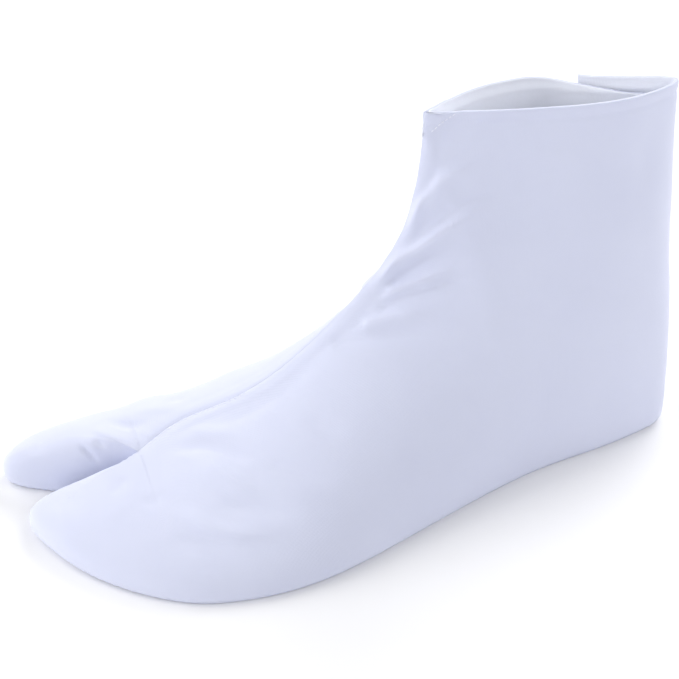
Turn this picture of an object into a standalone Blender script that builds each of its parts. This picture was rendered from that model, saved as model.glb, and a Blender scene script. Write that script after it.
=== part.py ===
"""A left tabi sock: two cotton uppers, a cotton sole and four closing clasps.

The sock stands on its sole as if a foot filled it. Sizes in the tables are in millimetres, measured from
the back of the heel: x runs towards the toes, y towards the big toe and z up. Finished pieces are in
metres, with the toes pointing to -X, the outer side to -Y and the origin on the floor.
"""

import math
from typing import Callable, Dict, List, NamedTuple, Sequence, Tuple

import bmesh
import bpy
import numpy as np
from mathutils import Vector

MM = 0.001
CENTRE_X = 123.9
CENTRE_Y = -7.4
SEAM_GAP = 0.3
CLOTH = 1.4
SOLE_CLOTH = 2.0
SOLE_LIFT = 0.4
SOLE_TURN_UP = 3.0
SOLE_SETBACK = CLOTH + SEAM_GAP
SLIT_PAST = 0.6
UPPER_FOOT = 1.2
RIM_HEIGHT = 139.6
MITRE_LIMIT = 2.3
FLAP_EDGE_FOOT = 21.9
FLAP_EDGE_TOP = 22.5
SEAM_STATIONS = 0.02
UNDERLAP_STATIONS = 1.3
UNDERLAP_FROM = 0.37
UNDERLAP_DEPTH = 2.7
UNDERLAP_DIP = 0.033
DIP_AHEAD = 0.9
SINK_FROM = 0.28
SINK_RUN = 0.8
OUTER_STATIONS = 22
INNER_FIRST = 22
INNER_STATIONS = 18
ROWS_UP = 14
STEPS_PER_STATION = 3
CURVE_SAMPLES = 41
SEAM_SAMPLES = 71
SEAM_REACH = 9.0
WELD = 0.0001
CLASP_SHARES = (0.44, 0.60, 0.76, 0.92)
CLASP_LENGTH = 14.0
CLASP_WIDTH = 9.0
CLASP_PLATE = 0.5
CLASP_GAP = 0.35
CLASP_SETBACK = 3.0
CLASP_SHOULDER = 0.5
CLASP_TIP = 0.25
CLASP_COLUMNS = 6
CLASP_ROWS = 4
KEY_STRIDE = 1000
SOLE_STEPS = 3
COTTON_COLOUR = (0.86, 0.88, 0.95, 1.0)
SOLE_COLOUR = (0.80, 0.82, 0.90, 1.0)
BRASS_COLOUR = (0.72, 0.55, 0.28, 1.0)


class Crown(NamedTuple):
    """A point where a section ends: on the toe pouches' crowns, the instep seam or the rim."""

    x: float
    y: float
    z: float


class Section(NamedTuple):
    """One section of the upper, from the sole's edge up to its crown point."""

    edge_x: float
    edge_y: float
    crown: str
    lean: float
    rise: float
    back: float
    side: float
    drop: float


CROWNS: Dict[str, Crown] = {
    "split": Crown(204.3, 7.0, 20.5),
    "four_1": Crown(212.0, 3.4, 19.8),
    "four_2": Crown(221.0, 1.6, 17.6),
    "four_3": Crown(229.5, -0.6, 14.6),
    "four_4": Crown(235.0, -1.6, 12.6),
    "big_1": Crown(212.0, 14.0, 22.4),
    "big_2": Crown(222.0, 21.5, 21.4),
    "big_3": Crown(231.0, 26.0, 19.2),
    "big_4": Crown(237.0, 27.6, 17.2),
    "ball": Crown(188.5, 12.2, 25.6),
    "forefoot": Crown(170.0, 10.6, 31.5),
    "midfoot": Crown(146.5, 7.2, 45.9),
    "instep": Crown(125.0, 4.4, 67.2),
    "ankle": Crown(109.0, 3.2, 88.0),
    "shin": Crown(102.1, 2.1, 112.0),
    "throat": Crown(100.2, 1.3, RIM_HEIGHT),
    "rim_1": Crown(78.0, -5.4, RIM_HEIGHT),
    "rim_2": Crown(52.0, -11.8, RIM_HEIGHT),
    "rim_3": Crown(29.0, -13.0, RIM_HEIGHT),
    "rim_4": Crown(14.5, -9.8, RIM_HEIGHT),
    "rim_back": Crown(7.9, -5.0, RIM_HEIGHT),
    "rim_5": Crown(15.3, -0.6, RIM_HEIGHT),
    "rim_6": Crown(29.0, 4.2, RIM_HEIGHT),
    "rim_7": Crown(50.0, 13.4, RIM_HEIGHT),
    "rim_8": Crown(78.0, 11.9, RIM_HEIGHT),
}

SECTIONS: Dict[str, Section] = {
    "split_outer": Section(204.5, 6.85, "split", 0.2, 8.4, 0, 0, -6),
    "notch_outer_1": Section(212.0, 6.2, "four_1", 1.3, 10.4, 0, 2, -1.2),
    "notch_outer_2": Section(223.0, 9.8, "four_2", 1.6, 9.9, 0, 4.6, -0.6),
    "notch_outer_3": Section(234.2, 12.6, "four_3", 1.8, 8.9, 2.4, 5.6, -1.4),
    "four_tip": Section(244.5, 6.4, "four_4", 2.7, 9.4, 6, 3.4, -2.6),
    "four_front": Section(241.5, -11.2, "four_3", 3.1, 10.8, 4.5, -6.6, -1.9),
    "four_corner": Section(231.6, -28.9, "four_2", 2.7, 11.7, 2.2, -14, -0.7),
    "four_side": Section(219.5, -42.0, "four_1", 2.7, 12.6, 1.1, -20, -0.3),
    "ball_front": Section(204.9, -52.6, "split", 2.6, 13.4, 0, -26, 0),
    "ball_outer": Section(187.5, -58.4, "ball", 2.6, 14.4, 0, -33.6, -1),
    "forefoot_outer": Section(167.5, -59.9, "forefoot", 3.0, 16.4, 0, -32.8, -0.9),
    "midfoot_outer": Section(139.5, -54.8, "midfoot", 3.1, 20.4, 0, -26.1, -4.3),
    "instep_outer": Section(113.3, -46.8, "instep", 3.2, 26.4, -2, -16.5, -12),
    "ankle_outer": Section(92.0, -40.1, "ankle", 4.0, 30.4, -4, -11, -18),
    "shin_outer": Section(74.0, -35.2, "shin", 4.0, 36.4, -5.5, -7, -26),
    "throat_outer": Section(58.0, -31.9, "throat", 4.0, 42.4, -5, -4.6, -34),
    "side_outer_1": Section(44.0, -30.2, "rim_1", 4.0, 42.4, 0, -3, -40),
    "side_outer_2": Section(29.0, -28.4, "rim_2", 3.8, 42.4, 0, -3.2, -42),
    "side_outer_3": Section(13.5, -25.3, "rim_3", 3.0, 42.4, -0.4, -2.8, -42),
    "heel_outer": Section(2.1, -19.2, "rim_4", 1.5, 42.4, -1.3, -1.6, -42),
    "heel_back": Section(-1.6, -1.0, "rim_back", 1.2, 42.4, -3.8, 0, -44),
    "heel_inner": Section(3.4, 17.7, "rim_5", 2.4, 42.4, -1.2, 1.4, -42),
    "side_inner_3": Section(14.0, 24.5, "rim_6", 3.0, 42.4, 0, 2.2, -42),
    "side_inner_2": Section(29.0, 27.0, "rim_7", 4.0, 42.4, 0, 3, -42),
    "side_inner_1": Section(44.0, 27.5, "rim_8", 4.0, 42.4, 0, 3, -40),
    "throat_inner": Section(58.0, 27.0, "throat", 4.0, 42.4, -5, 4.6, -34),
    "shin_inner": Section(74.0, 26.6, "shin", 4.0, 36.4, -5.5, 7.4, -26),
    "ankle_inner": Section(92.0, 27.0, "ankle", 4.0, 30.4, -4, 12.2, -17.5),
    "instep_inner": Section(114.0, 29.0, "instep", 4.0, 26.4, -2, 16.5, -9.5),
    "midfoot_inner": Section(140.0, 34.8, "midfoot", 4.0, 23, 0, 18.5, -1.8),
    "forefoot_inner": Section(168.0, 41.6, "forefoot", 3.2, 20.4, 0, 16, 1.7),
    "ball_inner": Section(188.0, 44.4, "ball", 3.1, 18.6, 0, 15, 3.6),
    "big_side_3": Section(204.5, 44.9, "split", 2.6, 17.8, 0, 20.6, 5.4),
    "big_side_2": Section(218.5, 44.8, "big_1", 2.6, 16.4, 1, 14.4, 2.2),
    "big_side_1": Section(233.6, 43.2, "big_2", 2.6, 14.8, 2, 10.2, -0.3),
    "big_corner": Section(245.0, 39.0, "big_3", 2.6, 13.7, 5, 5.1, -1.7),
    "big_tip": Section(248.9, 31.4, "big_4", 3.4, 13, 8.0, 0.3, -2.8),
    "notch_inner_3": Section(241.0, 22.8, "big_3", 1.8, 12.4, 4, -4, -1.5),
    "notch_inner_2": Section(228.6, 16.2, "big_2", 1.5, 12.4, 1, -4, -0.4),
    "notch_inner_1": Section(213.6, 11.0, "big_1", 0.9, 10.4, 0, -2, -0.5),
    "split_inner": Section(204.5, 7.15, "split", 0.2, 8.4, 0, 0, -6),
}

NAMES: List[str] = list(SECTIONS)
CROWN_RUNS: Tuple[Tuple[str, str], ...] = (
    ("split_outer", "four_tip"),
    ("ball_front", "throat_outer"),
    ("throat_outer", "throat_inner"),
    ("big_side_3", "big_tip"),
)


def station(name: str) -> float:
    """Where a named section stands in the run round the sole, counted in sections."""
    return float(NAMES.index(name))


def shared_station(place: float) -> float:
    """The station that stands for a crown point which two sections share.

    A toe pouch's sections meet on its crown and the two uppers' sections on the instep seam.
    """
    four_tip, ball_front = station("four_tip"), station("ball_front")
    throat, seam_end, big_tip = station("throat_inner"), station("big_side_3"), station("big_tip")
    if four_tip < place < ball_front:
        return 2.0 * four_tip - place
    if throat < place < seam_end:
        return throat + station("throat_outer") - place
    if place > big_tip:
        return 2.0 * big_tip - place
    return place


def smooth_curve(knots: np.ndarray, values: np.ndarray, at: np.ndarray) -> np.ndarray:
    """A natural cubic spline through the values, one column each."""
    count = len(knots)
    step = np.diff(knots)
    matrix = np.zeros((count, count))
    right = np.zeros((count, values.shape[1]))
    matrix[0, 0] = matrix[-1, -1] = 1.0
    for i in range(1, count - 1):
        matrix[i, i - 1] = step[i - 1]
        matrix[i, i] = 2.0 * (step[i - 1] + step[i])
        matrix[i, i + 1] = step[i]
        rise = (values[i + 1] - values[i]) / step[i]
        right[i] = 6.0 * (rise - (values[i] - values[i - 1]) / step[i - 1])
    bend = np.linalg.solve(matrix, right)
    k = np.clip(np.searchsorted(knots, at, side="right") - 1, 0, count - 2)
    width = step[k][:, None]
    a = (knots[k + 1] - at)[:, None] / width
    b = (at - knots[k])[:, None] / width
    arch = ((a**3 - a) * bend[k] + (b**3 - b) * bend[k + 1]) * width**2 / 6.0
    return a * values[k] + b * values[k + 1] + arch


class Skin:
    """The sock's outside surface, worked out from the section table."""

    def __init__(self) -> None:
        rows = list(SECTIONS.values())
        self.edge = np.array([(r.edge_x, r.edge_y) for r in rows])
        self.crown = np.array([tuple(CROWNS[r.crown]) for r in rows])
        self.handles = np.array([(r.lean, r.rise, r.back, r.side, r.drop) for r in rows])
        along_edge = np.linalg.norm(np.diff(self.edge, axis=0), axis=1)
        along_crown = np.linalg.norm(np.diff(self.crown, axis=0), axis=1)
        self.knots = np.concatenate([[0.0], np.cumsum(0.6 * along_edge + 0.4 * along_crown)])
        self.runs = [(int(station(a)), int(station(b))) for a, b in CROWN_RUNS]

    def knot_at(self, stations: np.ndarray) -> np.ndarray:
        """Spline parameters of places in the run of sections."""
        return np.interp(stations, np.arange(len(self.knots)), self.knots)

    def edge_points(self, stations: np.ndarray) -> Tuple[np.ndarray, np.ndarray]:
        """The sole edge in plan and its outward direction."""
        at = self.knot_at(stations)
        ahead = smooth_curve(self.knots, self.edge, at + 0.05)
        behind = smooth_curve(self.knots, self.edge, at - 0.05)
        along = ahead - behind
        along /= np.linalg.norm(along, axis=1)[:, None]
        outward = np.stack([-along[:, 1], along[:, 0]], axis=1)
        return smooth_curve(self.knots, self.edge, at), outward

    def crown_points(self, stations: np.ndarray) -> np.ndarray:
        """The line the sections end on, smooth between its corners."""
        shared = np.array([shared_station(s) for s in stations])
        at = self.knot_at(shared)
        crown = np.zeros((len(stations), 3))
        for first, last in self.runs:
            inside = (shared >= first) & (shared <= last)
            if inside.any():
                span = slice(first, last + 1)
                crown[inside] = smooth_curve(self.knots[span], self.crown[span], at[inside])
        return crown

    def points(self, stations: np.ndarray, heights: np.ndarray) -> np.ndarray:
        """Surface points, each a share (0 to 1) of the way up its own section."""
        edge, outward = self.edge_points(stations)
        handles = smooth_curve(self.knots, self.handles, self.knot_at(stations))
        foot = np.column_stack([edge, np.full(len(stations), UPPER_FOOT)])
        crown = self.crown_points(stations)
        low = foot + np.column_stack([outward * handles[:, 0:1], handles[:, 1]])
        high = crown + handles[:, 2:5]
        s = np.linspace(0.0, 1.0, CURVE_SAMPLES)
        weights = np.array([(1 - s) ** 3, 3 * (1 - s) ** 2 * s, 3 * (1 - s) * s**2, s**3])
        curves = np.einsum("ks,nkc->nsc", weights, np.stack([foot, low, high, crown], axis=1))
        found = np.zeros((len(stations), 3))
        for i, curve in enumerate(curves):
            length = np.concatenate([[0.0], np.cumsum(np.linalg.norm(np.diff(curve, axis=0), axis=1))])
            for axis in range(3):
                found[i, axis] = np.interp(heights[i] * length[-1], length, curve[:, axis])
        return found


SKIN = Skin()


def ease(value: float) -> float:
    """A smooth rise from 0 to 1."""
    share = min(max(value, 0.0), 1.0)
    return share * share * (3.0 - 2.0 * share)


def placed(point: Sequence[float]) -> Vector:
    """A table point as a place in the finished sock, in millimetres."""
    return Vector((CENTRE_X - point[0], point[1] - CENTRE_Y, point[2]))


def unplaced(place: Vector) -> np.ndarray:
    """The table point for a place in the finished sock."""
    return np.array([CENTRE_X - place.x, place.y + CENTRE_Y, place.z])


def surface_frame(place: float, share: float) -> Tuple[np.ndarray, np.ndarray, np.ndarray, np.ndarray]:
    """A surface point, its run along the stations, its run up the section and its outward normal."""
    step_along, step_up = 0.01, 0.004
    low, high = max(share - step_up, 0.0), min(share + step_up, 1.0)
    stations = np.array([place, place - step_along, place + step_along, place, place])
    shares = np.array([share, share, share, low, high])
    point, behind, ahead, under, over = SKIN.points(stations, shares)
    along = (ahead - behind) / (2.0 * step_along)
    upward = (over - under) / (high - low)
    outward = np.cross(upward, along)
    return point, along, upward, outward / np.linalg.norm(outward)


def flap_edge(share: float) -> float:
    """The station of the flap's free edge, which slants forward as it rises."""
    return FLAP_EDGE_FOOT + (FLAP_EDGE_TOP - FLAP_EDGE_FOOT) * share


def underlap_edge(share: float) -> float:
    """The station of the inner upper's back edge: along the heel seam, then back under the flap."""
    seam = flap_edge(share) + SEAM_STATIONS
    return seam - UNDERLAP_STATIONS * ease((share - UNDERLAP_FROM) / (1.0 - UNDERLAP_FROM)) ** 0.75


def underlap_sink(place: float, share: float) -> float:
    """How far the inner upper lies below the skin, so that the flap can cover it."""
    near_edge = ease((flap_edge(share) + SINK_RUN - place) / SINK_RUN)
    above_seam = ease((share - SINK_FROM) / (UNDERLAP_FROM - SINK_FROM))
    return UNDERLAP_DEPTH * near_edge * above_seam


def underlap_dip(place: float, share: float) -> float:
    """The share of a section left once the underlap's top has dipped below the flap's."""
    behind = flap_edge(share) + DIP_AHEAD - place
    return share * (1.0 - UNDERLAP_DIP * ease(behind / (DIP_AHEAD + UNDERLAP_STATIONS)))


def outer_place(column: float, share: float) -> float:
    """The station of a column of the outer upper, whose last columns end at the flap's edge."""
    turn = station("heel_outer")
    if column <= turn:
        return column
    return turn + (flap_edge(share) - turn) * (column - turn) / (OUTER_STATIONS - turn)


def inner_place(column: float, share: float) -> float:
    """The station of a column of the inner upper, whose first columns start at the underlap's edge."""
    throat = station("throat_inner")
    if column >= throat:
        return column
    back_edge = underlap_edge(share)
    return back_edge + (throat - back_edge) * (column - INNER_FIRST) / (throat - INNER_FIRST)


def seam_line() -> List[np.ndarray]:
    """Points along the instep seam, from the toe split to the throat."""
    stations = np.linspace(station("ball_front"), station("throat_outer"), SEAM_SAMPLES)
    return list(SKIN.crown_points(stations))


SEAM = seam_line()


def seam_inward(place: float) -> np.ndarray:
    """The way into the sock from a point on the instep seam, long enough to mitre both uppers."""
    shared = min(shared_station(place), station("throat_outer"))
    twin = station("throat_inner") + station("throat_outer") - shared
    behind = max(shared - 0.02, station("ball_front"))
    ahead = min(shared + 0.02, station("throat_outer"))
    along = np.diff(SKIN.crown_points(np.array([behind, ahead])), axis=0)[0]
    normals = []
    for where, turn in ((shared, 1.0), (twin, -1.0)):
        handle = smooth_curve(SKIN.knots, SKIN.handles, SKIN.knot_at(np.array([where])))[0, 2:5]
        normal = np.cross(along, handle) * -turn
        normals.append(normal / np.linalg.norm(normal))
    middle = normals[0] + normals[1]
    middle /= np.linalg.norm(middle)
    slant = max(abs(float(np.dot(middle, normals[0]))), 1.0 / MITRE_LIMIT)
    return middle * CLOTH / slant


def clear_of_seam(point: np.ndarray, side: float) -> np.ndarray:
    """Keeps a point near the instep seam on its own upper's side, half a seam gap from the middle."""
    nearest = min(SEAM, key=lambda sample: float(np.linalg.norm(sample - point)))
    if np.linalg.norm(nearest - point) > SEAM_REACH:
        return point
    limit = nearest[1] + side * SEAM_GAP / 2.0
    moved = point.copy()
    moved[1] = max(point[1], limit) if side > 0.0 else min(point[1], limit)
    return moved


def new_object(name: str, bm: bmesh.types.BMesh, material: bpy.types.Material) -> bpy.types.Object:
    """Turns a finished mesh, still in millimetres, into a named object in metres."""
    bmesh.ops.scale(bm, vec=Vector((MM, MM, MM)), verts=bm.verts)
    bmesh.ops.recalc_face_normals(bm, faces=bm.faces)
    for face in bm.faces:
        face.smooth = True
    mesh = bpy.data.meshes.new(name)
    bm.to_mesh(mesh)
    bm.free()
    mesh.materials.append(material)
    made = bpy.data.objects.new(name, mesh)
    SOCK.objects.link(made)
    return made


def thicken(bm: bmesh.types.BMesh, depth: float, inside: Dict[int, Vector]) -> None:
    """Gives a sheet a wall: a second sheet at the given places, joined to the first round the edge."""
    key = bm.verts.layers.int["key"]
    outside = {vert[key]: vert.co.copy() for vert in bm.verts}
    bmesh.ops.solidify(bm, geom=bm.faces[:], thickness=depth)
    pairs: Dict[int, List[bmesh.types.BMVert]] = {}
    for vert in bm.verts:
        pairs.setdefault(vert[key], []).append(vert)
    for number, both in pairs.items():
        both.sort(key=lambda vert: (vert.co - outside[number]).length)
        both[0].co = outside[number]
        both[1].co = inside[number]


def sheet_grid(columns: int, rows: int) -> bmesh.types.BMesh:
    """A flat grid whose vertices carry their column and row as one number."""
    bm = bmesh.new()
    bmesh.ops.create_grid(bm, x_segments=columns, y_segments=rows, size=1.0)
    key = bm.verts.layers.int.new("key")
    for vert in bm.verts:
        column = round((vert.co.x + 1.0) / 2.0 * columns)
        row = round((vert.co.y + 1.0) / 2.0 * rows)
        vert[key] = column * KEY_STRIDE + row
    return bm


def on_seam(place: float) -> bool:
    """Whether a section's top lies on the instep seam, past the toe split."""
    outer = station("ball_front") < place <= station("throat_outer")
    return outer or station("throat_inner") <= place < station("big_side_3")


def on_rim(place: float) -> bool:
    """Whether a section's top lies on the sock's mouth."""
    return station("throat_outer") <= place <= station("throat_inner")


def wall_depth(normal: Vector, place: float, share: float) -> Vector:
    """The way from an upper's outside to its inside: level at the sole and the mouth, mitred at the seam."""
    inward = -normal * CLOTH
    if share == 1.0 and on_seam(place):
        way = seam_inward(place)
        inward = Vector((-way[0], way[1], way[2]))
    if share == 0.0 or (share == 1.0 and on_rim(place)):
        level = Vector((inward.x, inward.y, 0.0))
        inward = level.normalized() * CLOTH
    return inward


def build_upper(
    name: str,
    first: int,
    count: int,
    side: float,
    place_of: Callable[[float, float], float],
    material: bpy.types.Material,
) -> bpy.types.Object:
    """Builds one cotton upper as a wall on the skin between two stations."""
    columns = count * STEPS_PER_STATION
    bm = sheet_grid(columns, ROWS_UP)
    key = bm.verts.layers.int["key"]
    places: Dict[int, Tuple[float, float]] = {}
    for vert in bm.verts:
        column, row = divmod(vert[key], KEY_STRIDE)
        share = row / ROWS_UP
        place = place_of(first + column / STEPS_PER_STATION, share)
        places[vert[key]] = (place, share)
        if side > 0.0:
            share = underlap_dip(place, share)
        point = SKIN.points(np.array([place]), np.array([share]))[0]
        if place in (station("split_outer"), station("split_inner")):
            point[1] = CROWNS["split"].y + side * SEAM_GAP / 2.0
        if row == ROWS_UP and on_seam(place):
            point = clear_of_seam(point, side)
        vert.co = placed(point)
    bmesh.ops.remove_doubles(bm, verts=bm.verts, dist=WELD)
    bm.normal_update()
    if side > 0.0:
        for vert in bm.verts:
            vert.co -= vert.normal * underlap_sink(*places[vert[key]])
        bm.normal_update()
    inside: Dict[int, Vector] = {}
    for vert in bm.verts:
        inward = wall_depth(vert.normal, *places[vert[key]])
        point = clear_of_seam(unplaced(vert.co + inward), side)
        inside[vert[key]] = placed(point)
    thicken(bm, CLOTH, inside)
    return new_object(name, bm, material)


def build_sole(material: bpy.types.Material) -> bpy.types.Object:
    """Builds the sole: one flat piece inside the uppers' foot, with the toe split cut in."""
    first, last = station("split_outer"), station("split_inner")
    stations = np.linspace(first, last, int(last - first) * SOLE_STEPS + 1)
    edge, outward = SKIN.edge_points(stations)
    outline = edge - outward * SOLE_SETBACK
    outline[[0, -1], 0] -= SLIT_PAST
    bm = bmesh.new()
    bmesh.ops.create_circle(bm, cap_ends=True, segments=len(outline), radius=1.0)
    bm.verts.ensure_lookup_table()
    for vert, point in zip(bm.verts, outline[::-1]):
        vert.co = placed((point[0], point[1], 0.0))
    bmesh.ops.recalc_face_normals(bm, faces=bm.faces)
    bmesh.ops.inset_region(
        bm,
        faces=bm.faces[:],
        thickness=SOLE_TURN_UP,
        use_boundary=True,
        use_even_offset=True,
    )
    for vert in bm.verts:
        if vert.is_boundary:
            vert.co.z += SOLE_LIFT
    wide = [face for face in bm.faces if len(face.verts) > 4]
    bmesh.ops.triangulate(bm, faces=wide, ngon_method="BEAUTY")
    key = bm.verts.layers.int.new("key")
    for number, vert in enumerate(bm.verts):
        vert[key] = number
    above = {vert[key]: vert.co + Vector((0.0, 0.0, SOLE_CLOTH)) for vert in bm.verts}
    thicken(bm, SOLE_CLOTH, above)
    return new_object("sole", bm, material)


def clasp_half_width(along: float) -> float:
    """Half the clasp's width: straight at the sewn end, rounded at the tongue."""
    tongue = max((along - CLASP_SHOULDER) / (1.0 - CLASP_SHOULDER), 0.0)
    return CLASP_WIDTH / 2.0 * math.sqrt(max(1.0 - tongue**2, CLASP_TIP**2))


def build_clasp(number: int, share: float, material: bpy.types.Material) -> bpy.types.Object:
    """Builds one clasp, a thin plate inside the flap with its tongue towards the heel."""
    bm = sheet_grid(CLASP_COLUMNS, CLASP_ROWS)
    key = bm.verts.layers.int["key"]
    edge = flap_edge(share)
    _, along, upward, _ = surface_frame(edge, share)
    per_station = float(np.linalg.norm(along))
    per_share = float(np.linalg.norm(upward))
    inside: Dict[int, Vector] = {}
    for vert in bm.verts:
        column, row = divmod(vert[key], KEY_STRIDE)
        run = 1.0 - column / CLASP_COLUMNS
        across = 2.0 * row / CLASP_ROWS - 1.0
        place = edge - (CLASP_SETBACK + CLASP_LENGTH * run) / per_station
        height = share + across * clasp_half_width(run) / per_share
        point, _, _, outward = surface_frame(place, height)
        vert.co = placed(point - outward * (CLOTH + CLASP_GAP))
        inside[vert[key]] = placed(point - outward * (CLOTH + CLASP_GAP + CLASP_PLATE))
    bm.normal_update()
    thicken(bm, CLASP_PLATE, inside)
    return new_object(f"kohaze_{number}", bm, material)


def plain_material(name: str, colour: Sequence[float], rough: float, metal: float) -> bpy.types.Material:
    """A Principled material of one colour."""
    made = bpy.data.materials.new(name)
    made.use_nodes = True
    shader = made.node_tree.nodes["Principled BSDF"]
    shader.inputs["Base Color"].default_value = colour
    shader.inputs["Roughness"].default_value = rough
    shader.inputs["Metallic"].default_value = metal
    return made


def clear_scene() -> None:
    """Removes everything the empty file starts with."""
    for old in list(bpy.data.objects):
        bpy.data.objects.remove(old, do_unlink=True)


clear_scene()
SOCK = bpy.data.collections.new("tabi_sock")
bpy.context.scene.collection.children.link(SOCK)

build_upper(
    "outer_panel",
    0,
    OUTER_STATIONS,
    -1.0,
    outer_place,
    plain_material("outer_cotton", COTTON_COLOUR, 0.9, 0.0),
)
build_upper(
    "inner_panel",
    INNER_FIRST,
    INNER_STATIONS,
    1.0,
    inner_place,
    plain_material("inner_cotton", COTTON_COLOUR, 0.9, 0.0),
)
build_sole(plain_material("sole_cotton", SOLE_COLOUR, 0.95, 0.0))
CLASP_METAL = plain_material("clasp_metal", BRASS_COLOUR, 0.35, 1.0)
for index, height_share in enumerate(CLASP_SHARES):
    build_clasp(index + 1, height_share, CLASP_METAL)
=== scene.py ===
"""The finish of a left tabi sock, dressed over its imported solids.

The sock is sewn from two cotton uppers and a cotton sole, and closes behind the ankle with four clasps. It
keeps the form that a foot gave it. Sizes are in millimetres: in the tables x runs from the back of the heel
to the toes, y towards the big toe and z up. Pieces are made in the finished place, where the toes point to
-X and the big toe is on the +Y side, and are turned to metres when they are done.
"""

import logging
import math
from dataclasses import dataclass, field
from enum import Enum
from typing import Any, Dict, List, NamedTuple, Optional, Tuple

import bmesh
import bpy
import numpy as np
from mathutils import Matrix, Vector, noise


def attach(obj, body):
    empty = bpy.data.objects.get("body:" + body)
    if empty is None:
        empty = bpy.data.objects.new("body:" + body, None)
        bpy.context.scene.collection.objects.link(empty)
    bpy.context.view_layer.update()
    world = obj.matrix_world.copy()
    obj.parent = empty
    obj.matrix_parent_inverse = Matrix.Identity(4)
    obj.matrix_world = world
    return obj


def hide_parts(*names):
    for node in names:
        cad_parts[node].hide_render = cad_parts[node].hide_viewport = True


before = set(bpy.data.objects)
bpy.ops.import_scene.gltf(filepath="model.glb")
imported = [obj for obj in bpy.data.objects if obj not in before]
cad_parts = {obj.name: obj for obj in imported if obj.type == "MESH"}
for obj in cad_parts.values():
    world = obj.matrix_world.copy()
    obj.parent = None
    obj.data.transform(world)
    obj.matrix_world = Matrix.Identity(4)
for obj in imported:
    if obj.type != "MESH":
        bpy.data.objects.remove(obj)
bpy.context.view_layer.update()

LOG = logging.getLogger("tabi_sock")

MM = 0.001
CENTRE_X = 123.9
CENTRE_Y = -7.4
CLOTH = 1.3
UPPER_FOOT = 0.35
RIM_HEIGHT = 139.6
FLAP_EDGE_FOOT = 21.9
FLAP_EDGE_TOP = 22.5
FLAP_TURN = 19.0
FLAP_STATION_MM = 15.0
SEAM_STATIONS = 0.02
UNDERLAP_STATIONS = 1.3
UNDERLAP_FROM = 0.37
UNDERLAP_CURVE = 0.75
UNDERLAP_DEPTH = 2.7
UNDERLAP_DIP = 0.033
DIP_AHEAD = 0.9
SINK_FROM = 0.28
SINK_RUN = 0.8
EDGE_WEIGHT = 0.6
CURVE_SAMPLES = 41
FOLD_SAMPLES = 14
FOLD_REACH = 3.2
FOLD_BEGIN = 0.35
FOLD_END = 0.5
LEVEL_SHARE = 0.8
FAR_AWAY = 1e9
TINY = 1e-9
KEY_STRIDE = 1000
WELD = 0.0001
UV_NAME = "cloth_mm"

Span = Tuple[float, float]


class Crown(NamedTuple):
    """A point where a section ends: on the toe pouches' crowns, the instep seam or the rim."""

    x: float
    y: float
    z: float


class Section(NamedTuple):
    """One section of the upper, from the sole's edge up to its crown point."""

    edge_x: float
    edge_y: float
    crown: str
    lean: float
    rise: float
    back: float
    side: float
    drop: float


class Fold(NamedTuple):
    """A soft fold in the cloth through places on the skin, each a station and a share of the way up.

    With a lean, the fold is wider on one side of its line than on the other.
    """

    path: Tuple[Span, ...]
    width: float
    height: float
    lean: float = 0.0
    from_seam: bool = False


class Gather(NamedTuple):
    """A stretch of a seam whose cloth is drawn into small puckers."""

    station: float
    spread: float
    height: float


class Cloth(NamedTuple):
    """Points of a sheet, with the station, the share of the way up and the outward direction of each."""

    stations: np.ndarray
    shares: np.ndarray
    places: np.ndarray
    normals: np.ndarray


class Side(Enum):
    """The two sides of the sock, as the sign of their direction along Y."""

    OUTER = -1.0
    INNER = 1.0


CROWNS: Dict[str, Crown] = {
    "split": Crown(204.3, 7.0, 20.5),
    "four_1": Crown(212.0, 3.4, 19.8),
    "four_2": Crown(221.0, 1.6, 17.6),
    "four_3": Crown(229.5, -0.6, 14.6),
    "four_4": Crown(235.0, -1.6, 12.6),
    "big_1": Crown(212.0, 14.0, 22.4),
    "big_2": Crown(222.0, 21.5, 21.4),
    "big_3": Crown(231.0, 26.0, 19.2),
    "big_4": Crown(237.0, 27.6, 17.2),
    "ball": Crown(188.5, 12.2, 25.6),
    "forefoot": Crown(170.0, 10.6, 31.5),
    "midfoot": Crown(146.5, 7.2, 45.9),
    "instep": Crown(125.0, 4.4, 67.2),
    "ankle": Crown(109.0, 3.2, 88.0),
    "shin": Crown(102.1, 2.1, 112.0),
    "throat": Crown(100.2, 1.3, RIM_HEIGHT),
    "rim_1": Crown(78.0, -5.4, RIM_HEIGHT),
    "rim_2": Crown(52.0, -11.8, RIM_HEIGHT),
    "rim_3": Crown(29.0, -13.0, RIM_HEIGHT),
    "rim_4": Crown(14.5, -9.8, RIM_HEIGHT),
    "rim_back": Crown(7.9, -5.0, RIM_HEIGHT),
    "rim_5": Crown(15.3, -0.6, RIM_HEIGHT),
    "rim_6": Crown(29.0, 4.2, RIM_HEIGHT),
    "rim_7": Crown(50.0, 13.4, RIM_HEIGHT),
    "rim_8": Crown(78.0, 11.9, RIM_HEIGHT),
}

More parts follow.
